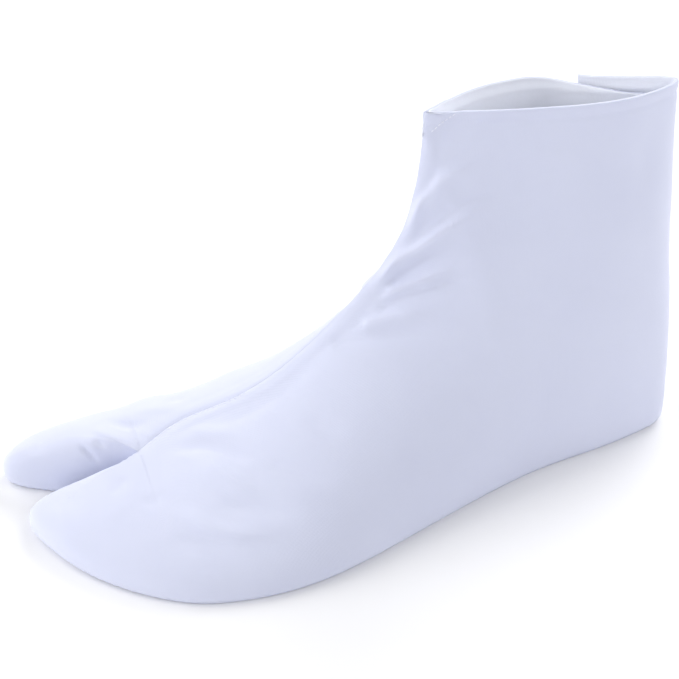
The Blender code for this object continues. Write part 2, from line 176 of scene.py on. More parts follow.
SECTIONS: Dict[str, Section] = {
    "split_outer": Section(204.5, 6.85, "split", 0.2, 8.4, 0, 0, -6),
    "notch_outer_1": Section(212.0, 6.2, "four_1", 1.3, 10.4, 0, 2, -1.2),
    "notch_outer_2": Section(223.0, 9.8, "four_2", 1.6, 9.9, 0, 4.6, -0.6),
    "notch_outer_3": Section(234.2, 12.6, "four_3", 1.8, 8.9, 2.4, 5.6, -1.4),
    "four_tip": Section(244.5, 6.4, "four_4", 2.7, 9.4, 6, 3.4, -2.6),
    "four_front": Section(241.5, -11.2, "four_3", 3.1, 10.8, 4.5, -6.6, -1.9),
    "four_corner": Section(231.6, -28.9, "four_2", 2.7, 11.7, 2.2, -14, -0.7),
    "four_side": Section(219.5, -42.0, "four_1", 2.7, 12.6, 1.1, -20, -0.3),
    "ball_front": Section(204.9, -52.6, "split", 2.6, 13.4, 0, -26, 0),
    "ball_outer": Section(187.5, -58.4, "ball", 2.6, 14.4, 0, -33.6, -1),
    "forefoot_outer": Section(167.5, -59.9, "forefoot", 3.0, 16.4, 0, -32.8, -0.9),
    "midfoot_outer": Section(139.5, -54.8, "midfoot", 3.1, 20.4, 0, -26.1, -4.3),
    "instep_outer": Section(113.3, -46.8, "instep", 3.2, 26.4, -2, -16.5, -12),
    "ankle_outer": Section(92.0, -40.1, "ankle", 4.0, 30.4, -4, -11, -18),
    "shin_outer": Section(74.0, -35.2, "shin", 4.0, 36.4, -5.5, -7, -26),
    "throat_outer": Section(58.0, -31.9, "throat", 4.0, 42.4, -5, -4.6, -34),
    "side_outer_1": Section(44.0, -30.2, "rim_1", 4.0, 42.4, 0, -3, -40),
    "side_outer_2": Section(29.0, -28.4, "rim_2", 3.8, 42.4, 0, -3.2, -42),
    "side_outer_3": Section(13.5, -25.3, "rim_3", 3.0, 42.4, -0.4, -2.8, -42),
    "heel_outer": Section(2.1, -19.2, "rim_4", 1.5, 42.4, -1.3, -1.6, -42),
    "heel_back": Section(-1.6, -1.0, "rim_back", 1.2, 42.4, -3.8, 0, -44),
    "heel_inner": Section(3.4, 17.7, "rim_5", 2.4, 42.4, -1.2, 1.4, -42),
    "side_inner_3": Section(14.0, 24.5, "rim_6", 3.0, 42.4, 0, 2.2, -42),
    "side_inner_2": Section(29.0, 27.0, "rim_7", 4.0, 42.4, 0, 3, -42),
    "side_inner_1": Section(44.0, 27.5, "rim_8", 4.0, 42.4, 0, 3, -40),
    "throat_inner": Section(58.0, 27.0, "throat", 4.0, 42.4, -5, 4.6, -34),
    "shin_inner": Section(74.0, 26.6, "shin", 4.0, 36.4, -5.5, 7.4, -26),
    "ankle_inner": Section(92.0, 27.0, "ankle", 4.0, 30.4, -4, 12.2, -17.5),
    "instep_inner": Section(114.0, 29.0, "instep", 4.0, 26.4, -2, 16.5, -9.5),
    "midfoot_inner": Section(140.0, 34.8, "midfoot", 4.0, 23, 0, 18.5, -1.8),
    "forefoot_inner": Section(168.0, 41.6, "forefoot", 3.2, 20.4, 0, 16, 1.7),
    "ball_inner": Section(188.0, 44.4, "ball", 3.1, 18.6, 0, 15, 3.6),
    "big_side_3": Section(204.5, 44.9, "split", 2.6, 17.8, 0, 20.6, 5.4),
    "big_side_2": Section(218.5, 44.8, "big_1", 2.6, 16.4, 1, 14.4, 2.2),
    "big_side_1": Section(233.6, 43.2, "big_2", 2.6, 14.8, 2, 10.2, -0.3),
    "big_corner": Section(245.0, 39.0, "big_3", 2.6, 13.7, 5, 5.1, -1.7),
    "big_tip": Section(248.9, 31.4, "big_4", 3.4, 13, 8.0, 0.3, -2.8),
    "notch_inner_3": Section(241.0, 22.8, "big_3", 1.8, 12.4, 4, -4, -1.5),
    "notch_inner_2": Section(228.6, 16.2, "big_2", 1.5, 12.4, 1, -4, -0.4),
    "notch_inner_1": Section(213.6, 11.0, "big_1", 0.9, 10.4, 0, -2, -0.5),
    "split_inner": Section(204.5, 7.15, "split", 0.2, 8.4, 0, 0, -6),
}

NAMES: List[str] = list(SECTIONS)
CROWN_RUNS: Tuple[Tuple[str, str], ...] = (
    ("split_outer", "four_tip"),
    ("ball_front", "throat_outer"),
    ("throat_outer", "throat_inner"),
    ("big_side_3", "big_tip"),
)

OUTER_FOLDS: Tuple[Fold, ...] = (
    Fold(((13.62, 1.00), (14.20, 0.92), (15.00, 0.84), (15.55, 0.87), (16.00, 0.91)), 3.5, 2.35, -0.45, True),
    Fold(
        ((12.80, 0.98), (13.30, 0.92), (14.00, 0.84), (14.80, 0.755), (15.55, 0.77), (16.20, 0.82)),
        3.5,
        2.75,
        -0.45,
        True,
    ),
    Fold(((12.80, 0.92), (13.10, 0.895), (13.70, 0.83), (14.30, 0.765)), 2.4, -1.75, 0.1, True),
    Fold(((12.70, 0.90), (13.15, 0.84), (13.75, 0.77), (14.40, 0.70)), 2.5, 1.60, -0.40, True),
    Fold(((12.50, 0.88), (12.80, 0.85), (13.30, 0.785), (14.00, 0.69), (14.90, 0.60)), 2.0, -1.00, 0.2, True),
    Fold(((12.15, 0.88), (12.50, 0.835), (12.85, 0.785), (13.40, 0.71)), 2.7, 1.45, -0.40, True),
    Fold(((11.70, 0.90), (12.20, 0.81), (12.80, 0.71), (13.40, 0.64)), 3.0, -1.00, 0.2, True),
    Fold(((9.10, 0.93), (9.90, 0.88), (10.45, 0.88), (11.00, 0.89), (11.75, 0.90)), 3.0, -0.75),
    Fold(((8.45, 0.90), (8.85, 0.84), (9.35, 0.78), (9.80, 0.67), (10.25, 0.58)), 3.2, -1.35, 0.25),
    Fold(((9.05, 0.93), (9.65, 0.84), (10.05, 0.75)), 2.6, 0.40),
    Fold(((9.15, 0.75), (9.45, 0.60), (9.70, 0.51), (9.90, 0.42)), 3.4, 1.55, -0.35),
    Fold(((9.90, 0.64), (10.35, 0.52), (10.65, 0.44), (10.95, 0.37)), 3.6, -1.00),
    Fold(((9.00, 0.50), (9.50, 0.43), (9.85, 0.38), (10.35, 0.29)), 3.6, -1.20),
    Fold(((8.20, 0.55), (8.50, 0.46), (8.78, 0.37), (9.30, 0.30), (10.15, 0.24)), 3.0, 1.55, 0.20),
    Fold(((7.90, 0.37), (8.60, 0.31), (9.20, 0.25)), 3.4, -0.60),
    Fold(((10.80, 0.72), (11.05, 0.62), (11.30, 0.52)), 3.8, -0.60),
    Fold(((7.45, 0.58), (7.90, 0.62), (8.35, 0.60)), 3.0, -0.40),
    Fold(((6.55, 0.72), (6.85, 0.81), (7.15, 0.90)), 2.6, -0.45),
    Fold(((6.20, 0.52), (6.70, 0.60), (7.10, 0.70)), 3.2, 0.30),
    Fold(((15.95, 0.86), (16.60, 0.885), (17.20, 0.86)), 4.0, 0.45),
    Fold(((14.30, 0.52), (15.10, 0.46), (15.90, 0.47)), 5.0, -0.55),
    Fold(((16.20, 0.50), (17.00, 0.44), (17.80, 0.46)), 6.0, 0.45),
    Fold(((18.10, 0.90), (18.30, 0.82), (18.35, 0.72)), 4.5, -0.50),
    Fold(((19.60, 0.50), (20.10, 0.44), (20.80, 0.46)), 5.0, -0.55),
    Fold(((19.40, 0.30), (20.20, 0.27), (21.10, 0.31)), 4.5, 0.50),
    Fold(((20.60, 0.72), (21.30, 0.66), (21.90, 0.68)), 4.0, -0.50),
)

INNER_FOLDS: Tuple[Fold, ...] = (
    Fold(((33.30, 0.80), (33.20, 0.94), (32.65, 0.96), (31.95, 0.93)), 2.2, 0.70, 0.3),
    Fold(((32.85, 0.66), (32.10, 0.74), (31.35, 0.90)), 2.6, -1.05),
    Fold(((31.90, 0.60), (31.40, 0.74), (30.60, 0.95)), 3.0, 0.60, 0.2),
    Fold(((31.00, 0.70), (30.80, 0.74), (30.60, 0.80)), 2.6, -0.50),
    Fold(((37.95, 0.88), (38.35, 0.73), (38.72, 0.50)), 1.1, -1.05, 0.2),
    Fold(((38.00, 0.97), (38.45, 0.86), (38.80, 0.74)), 1.8, 0.50),
    Fold(((38.45, 0.97), (38.65, 0.90), (38.85, 0.84)), 1.4, -0.45),
    Fold(((27.20, 1.00), (26.20, 0.87), (25.20, 0.88), (24.50, 0.92)), 3.0, 1.30, -0.3, True),
    Fold(((27.00, 0.96), (26.00, 0.83), (24.80, 0.81)), 3.2, -1.25, 0.0, True),
    Fold(((26.30, 1.00), (25.60, 0.90), (24.70, 0.93)), 2.6, 0.90, -0.3, True),
    Fold(((27.60, 0.96), (26.90, 0.81), (26.10, 0.71), (25.20, 0.66)), 3.2, 1.00, -0.25, True),
    Fold(((27.95, 0.95), (27.20, 0.80), (26.40, 0.68)), 3.0, -0.85, 0.0, True),
    Fold(((31.10, 0.52), (30.20, 0.40), (29.20, 0.36)), 4.2, -1.00),
    Fold(((31.90, 0.45), (30.80, 0.30), (29.60, 0.24)), 3.4, 1.00, -0.3),
    Fold(((30.30, 0.66), (29.60, 0.56), (28.70, 0.50)), 4.5, 0.70, -0.2),
    Fold(((29.00, 0.30), (28.00, 0.24), (27.00, 0.26)), 5.0, -0.70),
    Fold(((24.40, 0.52), (23.60, 0.46), (22.90, 0.50)), 4.5, -0.60),
    Fold(((23.40, 0.24), (22.80, 0.20), (22.20, 0.22)), 4.0, 0.50),
)

FOOT_GATHERS: Tuple[Gather, ...] = (
    Gather(4.3, 2.2, 0.30),
    Gather(36.0, 2.2, 0.34),
    Gather(19.8, 2.6, 0.10),
)


def station(name: str) -> float:
    """Where a named section stands in the run round the sole, counted in sections."""
    return float(NAMES.index(name))


LAST_STATION = len(NAMES) - 1.0
FOUR_TIP, BALL_FRONT, THROAT_OUTER = station("four_tip"), station("ball_front"), station("throat_outer")
THROAT_INNER, SEAM_END, BIG_TIP = station("throat_inner"), station("big_side_3"), station("big_tip")


def shared_stations(places: np.ndarray) -> np.ndarray:
    """The stations that stand for crown points which two sections share.

    Args:
        places: Stations on either side of a toe pouch or of the instep seam.

    Returns:
        The stations whose crown points they are.
    """
    four = (places > FOUR_TIP) & (places < BALL_FRONT)
    seam = (places > THROAT_INNER) & (places < SEAM_END)
    shared = np.where(four, 2.0 * FOUR_TIP - places, places)
    shared = np.where(seam, THROAT_INNER + THROAT_OUTER - places, shared)
    return np.where(places > BIG_TIP, 2.0 * BIG_TIP - places, shared)


def ease(value: np.ndarray) -> np.ndarray:
    """A smooth rise from 0 to 1 as the value goes from 0 to 1."""
    share = np.clip(value, 0.0, 1.0)
    return share * share * (3.0 - 2.0 * share)


def hump(distance: np.ndarray, width: float) -> np.ndarray:
    """A soft hump, 1 at its middle and about a third at its width."""
    return np.exp(-((distance / width) ** 2))


def unit(ways: np.ndarray) -> np.ndarray:
    """Directions of length 1."""
    return ways / np.maximum(np.linalg.norm(ways, axis=-1), TINY)[..., None]


def placed(points: np.ndarray) -> np.ndarray:
    """The tables' points in their finished place."""
    return points * np.array([-1.0, 1.0, 1.0]) + np.array([CENTRE_X, -CENTRE_Y, 0.0])


def run_along(points: np.ndarray) -> np.ndarray:
    """The length of a line of points up to each of them."""
    return np.concatenate([[0.0], np.cumsum(np.linalg.norm(np.diff(points, axis=0), axis=1))])


def smooth_curve(knots: np.ndarray, values: np.ndarray, at: np.ndarray) -> np.ndarray:
    """A natural cubic spline through the values, one column each.

    Args:
        knots: The spline's parameters at the values.
        values: One row for each knot.
        at: The parameters wanted.

    Returns:
        One row for each parameter wanted.
    """
    count = len(knots)
    step = np.diff(knots)
    matrix = np.eye(count)
    right = np.zeros((count, values.shape[1]))
    for i in range(1, count - 1):
        matrix[i, i - 1 : i + 2] = step[i - 1], 2.0 * (step[i - 1] + step[i]), step[i]
        rise = (values[i + 1] - values[i]) / step[i]
        right[i] = 6.0 * (rise - (values[i] - values[i - 1]) / step[i - 1])
    bend = np.linalg.solve(matrix, right)
    k = np.clip(np.searchsorted(knots, at, side="right") - 1, 0, count - 2)
    width = step[k][:, None]
    a = (knots[k + 1] - at)[:, None] / width
    b = (at - knots[k])[:, None] / width
    arch = ((a**3 - a) * bend[k] + (b**3 - b) * bend[k + 1]) * width**2 / 6.0
    return a * values[k] + b * values[k + 1] + arch


def curve_weights(at: np.ndarray) -> np.ndarray:
    """The shares of a cubic curve's four control points, one column for each parameter from 0 to 1."""
    rest = 1.0 - at
    return np.array([rest**3, 3.0 * rest**2 * at, 3.0 * rest * at**2, at**3])


def nearest_on_line(
    points: np.ndarray, line: np.ndarray, outward: Optional[np.ndarray] = None
) -> Tuple[np.ndarray, np.ndarray, np.ndarray, np.ndarray]:
    """The nearest places on a line.

    Args:
        points: The points to measure from.
        line: The line's points.
        outward: Where given, distances are mostly measured square to these directions.

    Returns:
        For each point its distance, the line's step that is nearest, the share of the step before the
        nearest place, and the way from there to the point.
    """
    best = np.full(len(points), FAR_AWAY)
    nearest, share, way = np.zeros(len(points), dtype=int), np.zeros(len(points)), np.zeros(points.shape)
    for i, step in enumerate(np.diff(line, axis=0)):
        part = np.clip((points - line[i]) @ step / (step @ step), 0.0, 1.0)
        off = points - line[i] - part[:, None] * step
        if outward is not None:
            off -= LEVEL_SHARE * (off * outward).sum(axis=1)[:, None] * outward
        distance = np.linalg.norm(off, axis=1)
        closer = distance < best
        for kept, found in ((best, distance), (nearest, np.full(len(points), i)), (share, part), (way, off)):
            kept[closer] = found[closer]
    return best, nearest, share, way


def flap_edge(share: np.ndarray) -> np.ndarray:
    """The station of the flap's free edge, which slants forward as it rises."""
    return FLAP_EDGE_FOOT + (FLAP_EDGE_TOP - FLAP_EDGE_FOOT) * share


def underlap_edge(share: np.ndarray) -> np.ndarray:
    """The station of the inner upper's back edge: along the heel seam, then back under the flap."""
    above = ease((share - UNDERLAP_FROM) / (1.0 - UNDERLAP_FROM)) ** UNDERLAP_CURVE
    return flap_edge(share) + SEAM_STATIONS - UNDERLAP_STATIONS * above


def underlap_sink(place: np.ndarray, share: np.ndarray) -> np.ndarray:
    """How far the inner upper lies below the skin, so that the flap can cover it."""
    near_edge = ease((flap_edge(share) + SINK_RUN - place) / SINK_RUN)
    return UNDERLAP_DEPTH * near_edge * ease((share - SINK_FROM) / (UNDERLAP_FROM - SINK_FROM))


def underlap_dip(place: np.ndarray, share: np.ndarray) -> np.ndarray:
    """The share of a section left once the underlap's top has dipped below the flap's."""
    behind = flap_edge(share) + DIP_AHEAD - place
    return share * (1.0 - UNDERLAP_DIP * ease(behind / (DIP_AHEAD + UNDERLAP_STATIONS)))


class Skin:
    """The sock's outside surface, worked out from the section table."""

    def __init__(self) -> None:
        """Reads the tables into arrays."""
        rows = list(SECTIONS.values())
        self.edge = np.array([(r.edge_x, r.edge_y) for r in rows])
        self.crown = np.array([tuple(CROWNS[r.crown]) for r in rows])
        self.handles = np.array([(r.lean, r.rise, r.back, r.side, r.drop) for r in rows])
        self.edge_runs, self.crown_runs = run_along(self.edge), run_along(self.crown)
        self.knots = EDGE_WEIGHT * self.edge_runs + (1.0 - EDGE_WEIGHT) * self.crown_runs
        self.runs = [(int(station(a)), int(station(b))) for a, b in CROWN_RUNS]

    def measure(self, stations: np.ndarray, runs: np.ndarray) -> np.ndarray:
        """A length at places between the sections, from the length at each section."""
        return np.interp(stations, np.arange(len(runs)), runs)

    def handles_at(self, stations: np.ndarray) -> np.ndarray:
        """The sections' handles at places between them."""
        return smooth_curve(self.knots, self.handles, self.measure(stations, self.knots))

    def edge_points(self, stations: np.ndarray) -> Tuple[np.ndarray, np.ndarray]:
        """The sole edge in plan and its outward direction.

        Args:
            stations: The places wanted.

        Returns:
            The points, and the unit directions out of the sock.
        """
        at = self.measure(stations, self.knots)
        behind, here, ahead = (smooth_curve(self.knots, self.edge, at + d) for d in (-0.05, 0.0, 0.05))
        along = unit(ahead - behind)
        return here, np.stack([-along[:, 1], along[:, 0]], axis=1)

    def crown_points(self, stations: np.ndarray) -> np.ndarray:
        """The line the sections end on, smooth between its corners.

        Args:
            stations: The places wanted.

        Returns:
            One point for each.
        """
        shared = shared_stations(stations)
        at = self.measure(shared, self.knots)
        crown = np.zeros((len(stations), 3))
        for first, last in self.runs:
            inside = (shared >= first) & (shared <= last)
            span = slice(first, last + 1)
            crown[inside] = smooth_curve(self.knots[span], self.crown[span], at[inside])
        return crown

    def points(self, stations: np.ndarray, shares: np.ndarray) -> Tuple[np.ndarray, np.ndarray]:
        """Points of the finished sock's skin.

        Args:
            stations: The sections they lie on.
            shares: How far up those sections they are, from 0 to 1.

        Returns:
            The points in their finished place, and the length of each one's section.
        """
        edge, outward = self.edge_points(stations)
        handles = self.handles_at(stations)
        foot = np.column_stack([edge, np.full(len(stations), UPPER_FOOT)])
        crown = self.crown_points(stations)
        low = foot + np.column_stack([outward * handles[:, 0:1], handles[:, 1]])
        control = np.stack([foot, low, crown + handles[:, 2:5], crown], axis=1)
        curves = np.einsum("ks,nkc->nsc", curve_weights(np.linspace(0.0, 1.0, CURVE_SAMPLES)), control)
        steps = np.linalg.norm(np.diff(curves, axis=1), axis=2)
        length = np.concatenate([np.zeros((len(stations), 1)), np.cumsum(steps, axis=1)], axis=1)
        target = shares * length[:, -1]
        k = np.clip((length < target[:, None]).sum(axis=1) - 1, 0, CURVE_SAMPLES - 2)
        rows = np.arange(len(stations))
        at = (k + (target - length[rows, k]) / steps[rows, k]) / (CURVE_SAMPLES - 1)
        return placed(np.einsum("kn,nkc->nc", curve_weights(at), control)), length[:, -1]

    def seam_inward(self, stations: np.ndarray) -> np.ndarray:
        """The way into the sock from the instep seam, midway between the two uppers.

        Args:
            stations: Places whose sections end on the seam.

        Returns:
            A unit direction for each.
        """
        shared = np.clip(shared_stations(stations), BALL_FRONT, THROAT_OUTER)
        behind, ahead = (np.clip(shared + d, BALL_FRONT, THROAT_OUTER) for d in (-0.02, 0.02))
        along = self.crown_points(ahead) - self.crown_points(behind)
        middle = np.zeros_like(along)
        for where, turn in ((shared, -1.0), (THROAT_INNER + THROAT_OUTER - shared, 1.0)):
            middle += unit(np.cross(along, self.handles_at(where)[:, 2:5]) * turn)
        return unit(middle) * np.array([-1.0, 1.0, 1.0])


def fold_heights(fold: Fold, skin: Skin, cloth: Cloth) -> np.ndarray:
    """How far one fold lifts each point of the cloth.

    Args:
        fold: The fold.
        skin: The surface it lies on.
        cloth: The cloth's points.

    Returns:
        Heights in millimetres.
    """
    anchors = np.array(fold.path)
    at, _ = skin.points(anchors[:, 0], anchors[:, 1])
    knots = run_along(at)
    path = smooth_curve(knots, at, np.linspace(0.0, knots[-1], FOLD_SAMPLES))
    reach = FOLD_REACH * fold.width
    box = (cloth.places > path.min(axis=0) - reach) & (cloth.places < path.max(axis=0) + reach)
    near = box.all(axis=1)
    outward = cloth.normals[near]
    distance, step, part, off = nearest_on_line(cloth.places[near], path, outward)
    run = (step + part) / (FOLD_SAMPLES - 1)
    across = (off * np.cross(outward, np.diff(path, axis=0)[step])).sum(axis=1)
    begin = 1.0 if fold.from_seam else ease(run / FOLD_BEGIN)
    lift = hump(distance, fold.width * (1.0 + fold.lean * np.sign(across)))
    heights = np.zeros(len(near))
    heights[near] = fold.height * lift * begin * ease((1.0 - run) / FOLD_END)
    return heights


def wandering_wave(run: np.ndarray, pitch: float) -> np.ndarray:
    """A wave of uneven pitch and height, about -1 to 1, as small gathers along a seam are."""
    wander = 1.3 * np.sin(run / (2.9 * pitch)) + 0.7 * np.sin(run / (1.13 * pitch) + 1.0)
    return np.sin(2.0 * math.pi * run / pitch + wander) * (0.65 + 0.35 * np.sin(run / (2.3 * pitch) + 2.0))


def unevenness(places: np.ndarray) -> np.ndarray:
    """The soft unevenness of cloth that a foot has filled, in millimetres."""
    broad = np.array([noise.noise(Vector(p) / 31.0) for p in places])
    small = np.array([noise.noise(Vector(p) / 12.0 + Vector((7.0, 3.0, 5.0))) for p in places])
    return 0.5 * broad + 0.13 * small


def linear_colour(code: str) -> Tuple[float, float, float, float]:
    """Turns an sRGB colour code, a # and six hex digits, to linear light and alpha."""
    parts = [int(code[i : i + 2], 16) / 255.0 for i in (1, 3, 5)]
    red, green, blue = (p / 12.92 if p <= 0.04045 else ((p + 0.055) / 1.055) ** 2.4 for p in parts)
    return (red, green, blue, 1.0)


class Finish:
    """A procedural material while its nodes are put together."""

    def __init__(self, name: str) -> None:
        """Starts an empty node tree."""
        self.material = bpy.data.materials.new(name)
        self.material.use_nodes = True
        self.tree = self.material.node_tree
        self.tree.nodes.clear()

    def add(
        self,
        kind: str,
        settings: Optional[Dict[str, Any]] = None,
        values: Optional[Dict[Any, Any]] = None,
        links: Optional[Dict[Any, bpy.types.NodeSocket]] = None,
    ) -> bpy.types.Node:
        """Adds one node with its settings, its input values and its links.

        Args:
            kind: The node's type, without its leading words.
            settings: Properties of the node.
            values: Input values by name or number.
            links: Output sockets by the name or number of the input they feed.

        Returns:
            The node.
        """
        node = self.tree.nodes.new("ShaderNode" + kind)
        for name, setting in (settings or {}).items():
            setattr(node, name, setting)
        for name, value in (values or {}).items():
            node.inputs[name].default_value = value
        for name, socket in (links or {}).items():
            self.tree.links.new(socket, node.inputs[name])
        return node

    def here(self) -> bpy.types.NodeSocket:
        """The place on the object, in metres."""
        return self.add("TexCoord").outputs["Object"]

    def math(self, operation: str, *terms: Any) -> bpy.types.NodeSocket:
        """A sum on numbers and sockets."""
        links = {i: term for i, term in enumerate(terms) if isinstance(term, bpy.types.NodeSocket)}
        values = {i: term for i, term in enumerate(terms) if i not in links}
        return self.add("Math", {"operation": operation}, values, links).outputs[0]

    def noise(self, vector: bpy.types.NodeSocket, **values: float) -> bpy.types.NodeSocket:
        """Cloudy noise over the places that the socket gives."""
        return self.add("TexNoise", values=values, links={"Vector": vector}).outputs[0]

    def stretched(self, vector: bpy.types.NodeSocket, *scale: float) -> bpy.types.NodeSocket:
        """Places drawn out by a scale for each axis."""
        return self.add("Mapping", values={"Scale": scale}, links={0: vector}).outputs[0]

    def between(self, one: str, two: str, share: bpy.types.NodeSocket) -> bpy.types.NodeSocket:
        """A colour that goes from one to the other."""
        values = {6: linear_colour(one), 7: linear_colour(two)}
        return self.add("Mix", {"data_type": "RGBA"}, values, {0: share}).outputs[2]

    def spread(self, share: bpy.types.NodeSocket, low: float, high: float) -> bpy.types.NodeSocket:
        """A number from low to high."""
        return self.add("MapRange", values={"To Min": low, "To Max": high}, links={0: share}).outputs[0]

    def bump(self, height: bpy.types.NodeSocket, strength: float, depth: float) -> bpy.types.NodeSocket:
        """A normal for relief of a depth in metres."""
        values = {"Strength": strength, "Distance": depth}
        return self.add("Bump", values=values, links={"Height": height}).outputs[0]

    def close(
        self, values: Dict[str, Any], links: Dict[str, bpy.types.NodeSocket]
    ) -> bpy.types.Material:
        """Adds the shader and the output.

        Args:
            values: The shader's constants, on its own sockets.
            links: What feeds its other sockets.

        Returns:
            The finished material.
        """
        shader = self.add("BsdfPrincipled", values=values, links=links)
        self.add("OutputMaterial", links={0: shader.outputs[0]})
        return self.material


@dataclass(frozen=True)
class WovenCotton:
    """Bleached cotton broadcloth or twill: matt, a little fuzzy, faintly blue-white."""

    name: str
    colour: str
    shade: str
    thread_mm: float
    relief_mm: float = 0.06
    twill: float = 0.0
    roughness: float = 0.88
    sheen: float = 0.15
    glow: float = 0.25
    glow_mm: float = 0.6

    def build(self) -> bpy.types.Material:
        """Builds the cloth on the piece's own UV map, which is in millimetres."""
        made = Finish(self.name)
        uv = made.add("UVMap", {"uv_map": UV_NAME}).outputs[0]
        along, up = made.add("SeparateXYZ", links={0: uv}).outputs[:2]
        slant = made.math("MULTIPLY_ADD", up, self.twill, along)
        # Warp and weft cross in a fine even grid, so the white has a soft dry grain close up.
        waves = [made.math("SINE", made.math("MULTIPLY", s, math.pi / self.thread_mm)) for s in (slant, up)]
        threads = made.math("ABSOLUTE", made.math("MULTIPLY", *waves))
        # Some threads are a little thicker than others, so the cloth has faint slubs across its run.
        slubs = made.noise(made.stretched(uv, 0.9, 0.07, 1.0), Scale=1.0, Detail=3.0, Roughness=0.6)
        bump = made.bump(made.math("MULTIPLY_ADD", slubs, 0.6, threads), 0.6, self.relief_mm * MM)
        # Washing and handling leave the white very slightly uneven over a few centimetres.
        cloud = made.noise(made.here(), Scale=26.0, Detail=3.0, Roughness=0.55)
        values = {
            "Roughness": self.roughness,
            "Specular IOR Level": 0.3,
            "Sheen Weight": self.sheen,
            "Sheen Roughness": 0.6,
            "Subsurface Weight": self.glow,
            "Subsurface Radius": (1.0, 1.0, 1.0),
            "Subsurface Scale": self.glow_mm * MM,
        }
        colour = made.between(self.colour, self.shade, cloud)
        return made.close(values, {"Base Color": colour, "Normal": bump})


@dataclass(frozen=True)
class SewingThread:
    """Spun cotton sewing thread: matt white, with the twist showing as fine slanting ridges."""

    name: str = "spun_cotton_thread"
    colour: str = "#E9EBF7"
    twist_mm: float = 0.5

    def build(self) -> bpy.types.Material:
        """Builds the thread."""
        made = Finish(self.name)
        # The twist is kept coarse enough to break up each stitch's highlight.
        values = {"Scale": 1.0 / (self.twist_mm * MM * 20.0), "Distortion": 1.5, "Detail": 1.0}
        twist = made.add("TexWave", {"bands_direction": "DIAGONAL"}, values, {"Vector": made.here()})
        bump = made.bump(twist.outputs["Fac"], 0.5, 0.00005)
        values = {"Base Color": linear_colour(self.colour), "Roughness": 0.8, "Sheen Weight": 0.2}
        return made.close(values, {"Normal": bump})


@dataclass(frozen=True)
class StampedBrass:
    """Thin stamped brass: warm, satin, with faint lines left by the press and a few duller patches."""

    name: str = "stamped_brass"
    colour: str = "#C9A35A"
    tarnish: str = "#A9854A"
    line_mm: float = 0.4

    def build(self) -> bpy.types.Material:
        """Builds the metal."""
        made = Finish(self.name)
        place = made.here()
        # Tarnish comes in small patches, browner and rougher than the polished metal between them.
        patches = made.noise(place, Scale=220.0, Detail=4.0, Roughness=0.6)
        # The press leaves fine parallel lines that catch the light.
        drawn = made.stretched(place, 0.05, 1.0, 1.0)
        lines = made.noise(drawn, Scale=1.0 / (self.line_mm * MM), Detail=1.0)
        links = {
            "Base Color": made.between(self.colour, self.tarnish, patches),
            "Roughness": made.spread(patches, 0.24, 0.42),
            "Normal": made.bump(lines, 0.3, 0.00002),
        }
        return made.close({"Metallic": 1.0}, links)


@dataclass(frozen=True)
class PaintedBoard:
    """Matt white painted board: a pale, even studio floor with a barely uneven sheen."""

    name: str = "matt_white_board"
    colour: str = "#F4F4F6"

    def build(self) -> bpy.types.Material:
        """Builds the floor's paint."""
        made = Finish(self.name)
        # The roller's grain keeps the floor from looking like paper or plastic.
        grain = made.noise(made.here(), Scale=60.0, Detail=2.0)
        values = {"Base Color": linear_colour(self.colour), "Specular IOR Level": 0.2}
        return made.close(values, {"Roughness": made.spread(grain, 0.86, 0.94)})


def finish_piece(name: str, bm: bmesh.types.BMesh, *materials: bpy.types.Material) -> bpy.types.Object:
    """Turns a finished mesh, still in millimetres, into a named piece that rides on the sock.

    Args:
        name: The piece's name.
        bm: Its mesh, which is freed.
        materials: Its finishes, the one outside first.

    Returns:
        The piece.
    """
    bmesh.ops.scale(bm, vec=Vector((MM, MM, MM)), verts=bm.verts)
    for face in bm.faces:
        face.smooth = True
    mesh = bpy.data.meshes.new(name)
    bm.to_mesh(mesh)
    bm.free()
    for material in materials:
        mesh.materials.append(material)
    made = bpy.data.objects.new(name, mesh)
    bpy.context.scene.collection.objects.link(made)
    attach(made, "root")
    LOG.info("%s: %d faces", name, len(mesh.polygons))
    return made


def thicken(
    bm: bmesh.types.BMesh, depth: float, inside: Dict[int, Vector], lined: bool = False
) -> None:
    """Gives a sheet a wall: a second sheet at the given places, joined to the first round the edge.

    Args:
        bm: The sheet, whose vertices carry a key.
        depth: The wall's usual thickness.
        inside: The second sheet's places by key.
        lined: Whether the second sheet takes the second finish.
    """
    key = bm.verts.layers.int["key"]
    outside = {vert[key]: vert.co.copy() for vert in bm.verts}
    bmesh.ops.solidify(bm, geom=bm.faces[:], thickness=depth)
    pairs: Dict[int, List[bmesh.types.BMVert]] = {}
    for vert in bm.verts:
        pairs.setdefault(vert[key], []).append(vert)
    for number, both in pairs.items():
        both.sort(key=lambda vert: (vert.co - outside[number]).length)
        both[0].co, both[1].co = outside[number], inside[number]
    lining = {both[1] for both in pairs.values()} if lined else set()
    for face in bm.faces:
        face.material_index = int(all(vert in lining for vert in face.verts))
    bmesh.ops.recalc_face_normals(bm, faces=bm.faces)


def sheet_grid(columns: int, rows: int) -> Tuple[bmesh.types.BMesh, np.ndarray]:
    """A flat grid whose vertices carry their column and row as one number.

    Args:
        columns: Faces across.
        rows: Faces up.

    Returns:
        The grid and its vertices' numbers.
    """
    bm = bmesh.new()
    bmesh.ops.create_grid(bm, x_segments=columns, y_segments=rows, size=1.0)
    key = bm.verts.layers.int.new("key")
    for vert in bm.verts:
        column = round((vert.co.x + 1.0) / 2.0 * columns)
        vert[key] = column * KEY_STRIDE + round((vert.co.y + 1.0) / 2.0 * rows)
    return bm, np.array([vert[key] for vert in bm.verts])


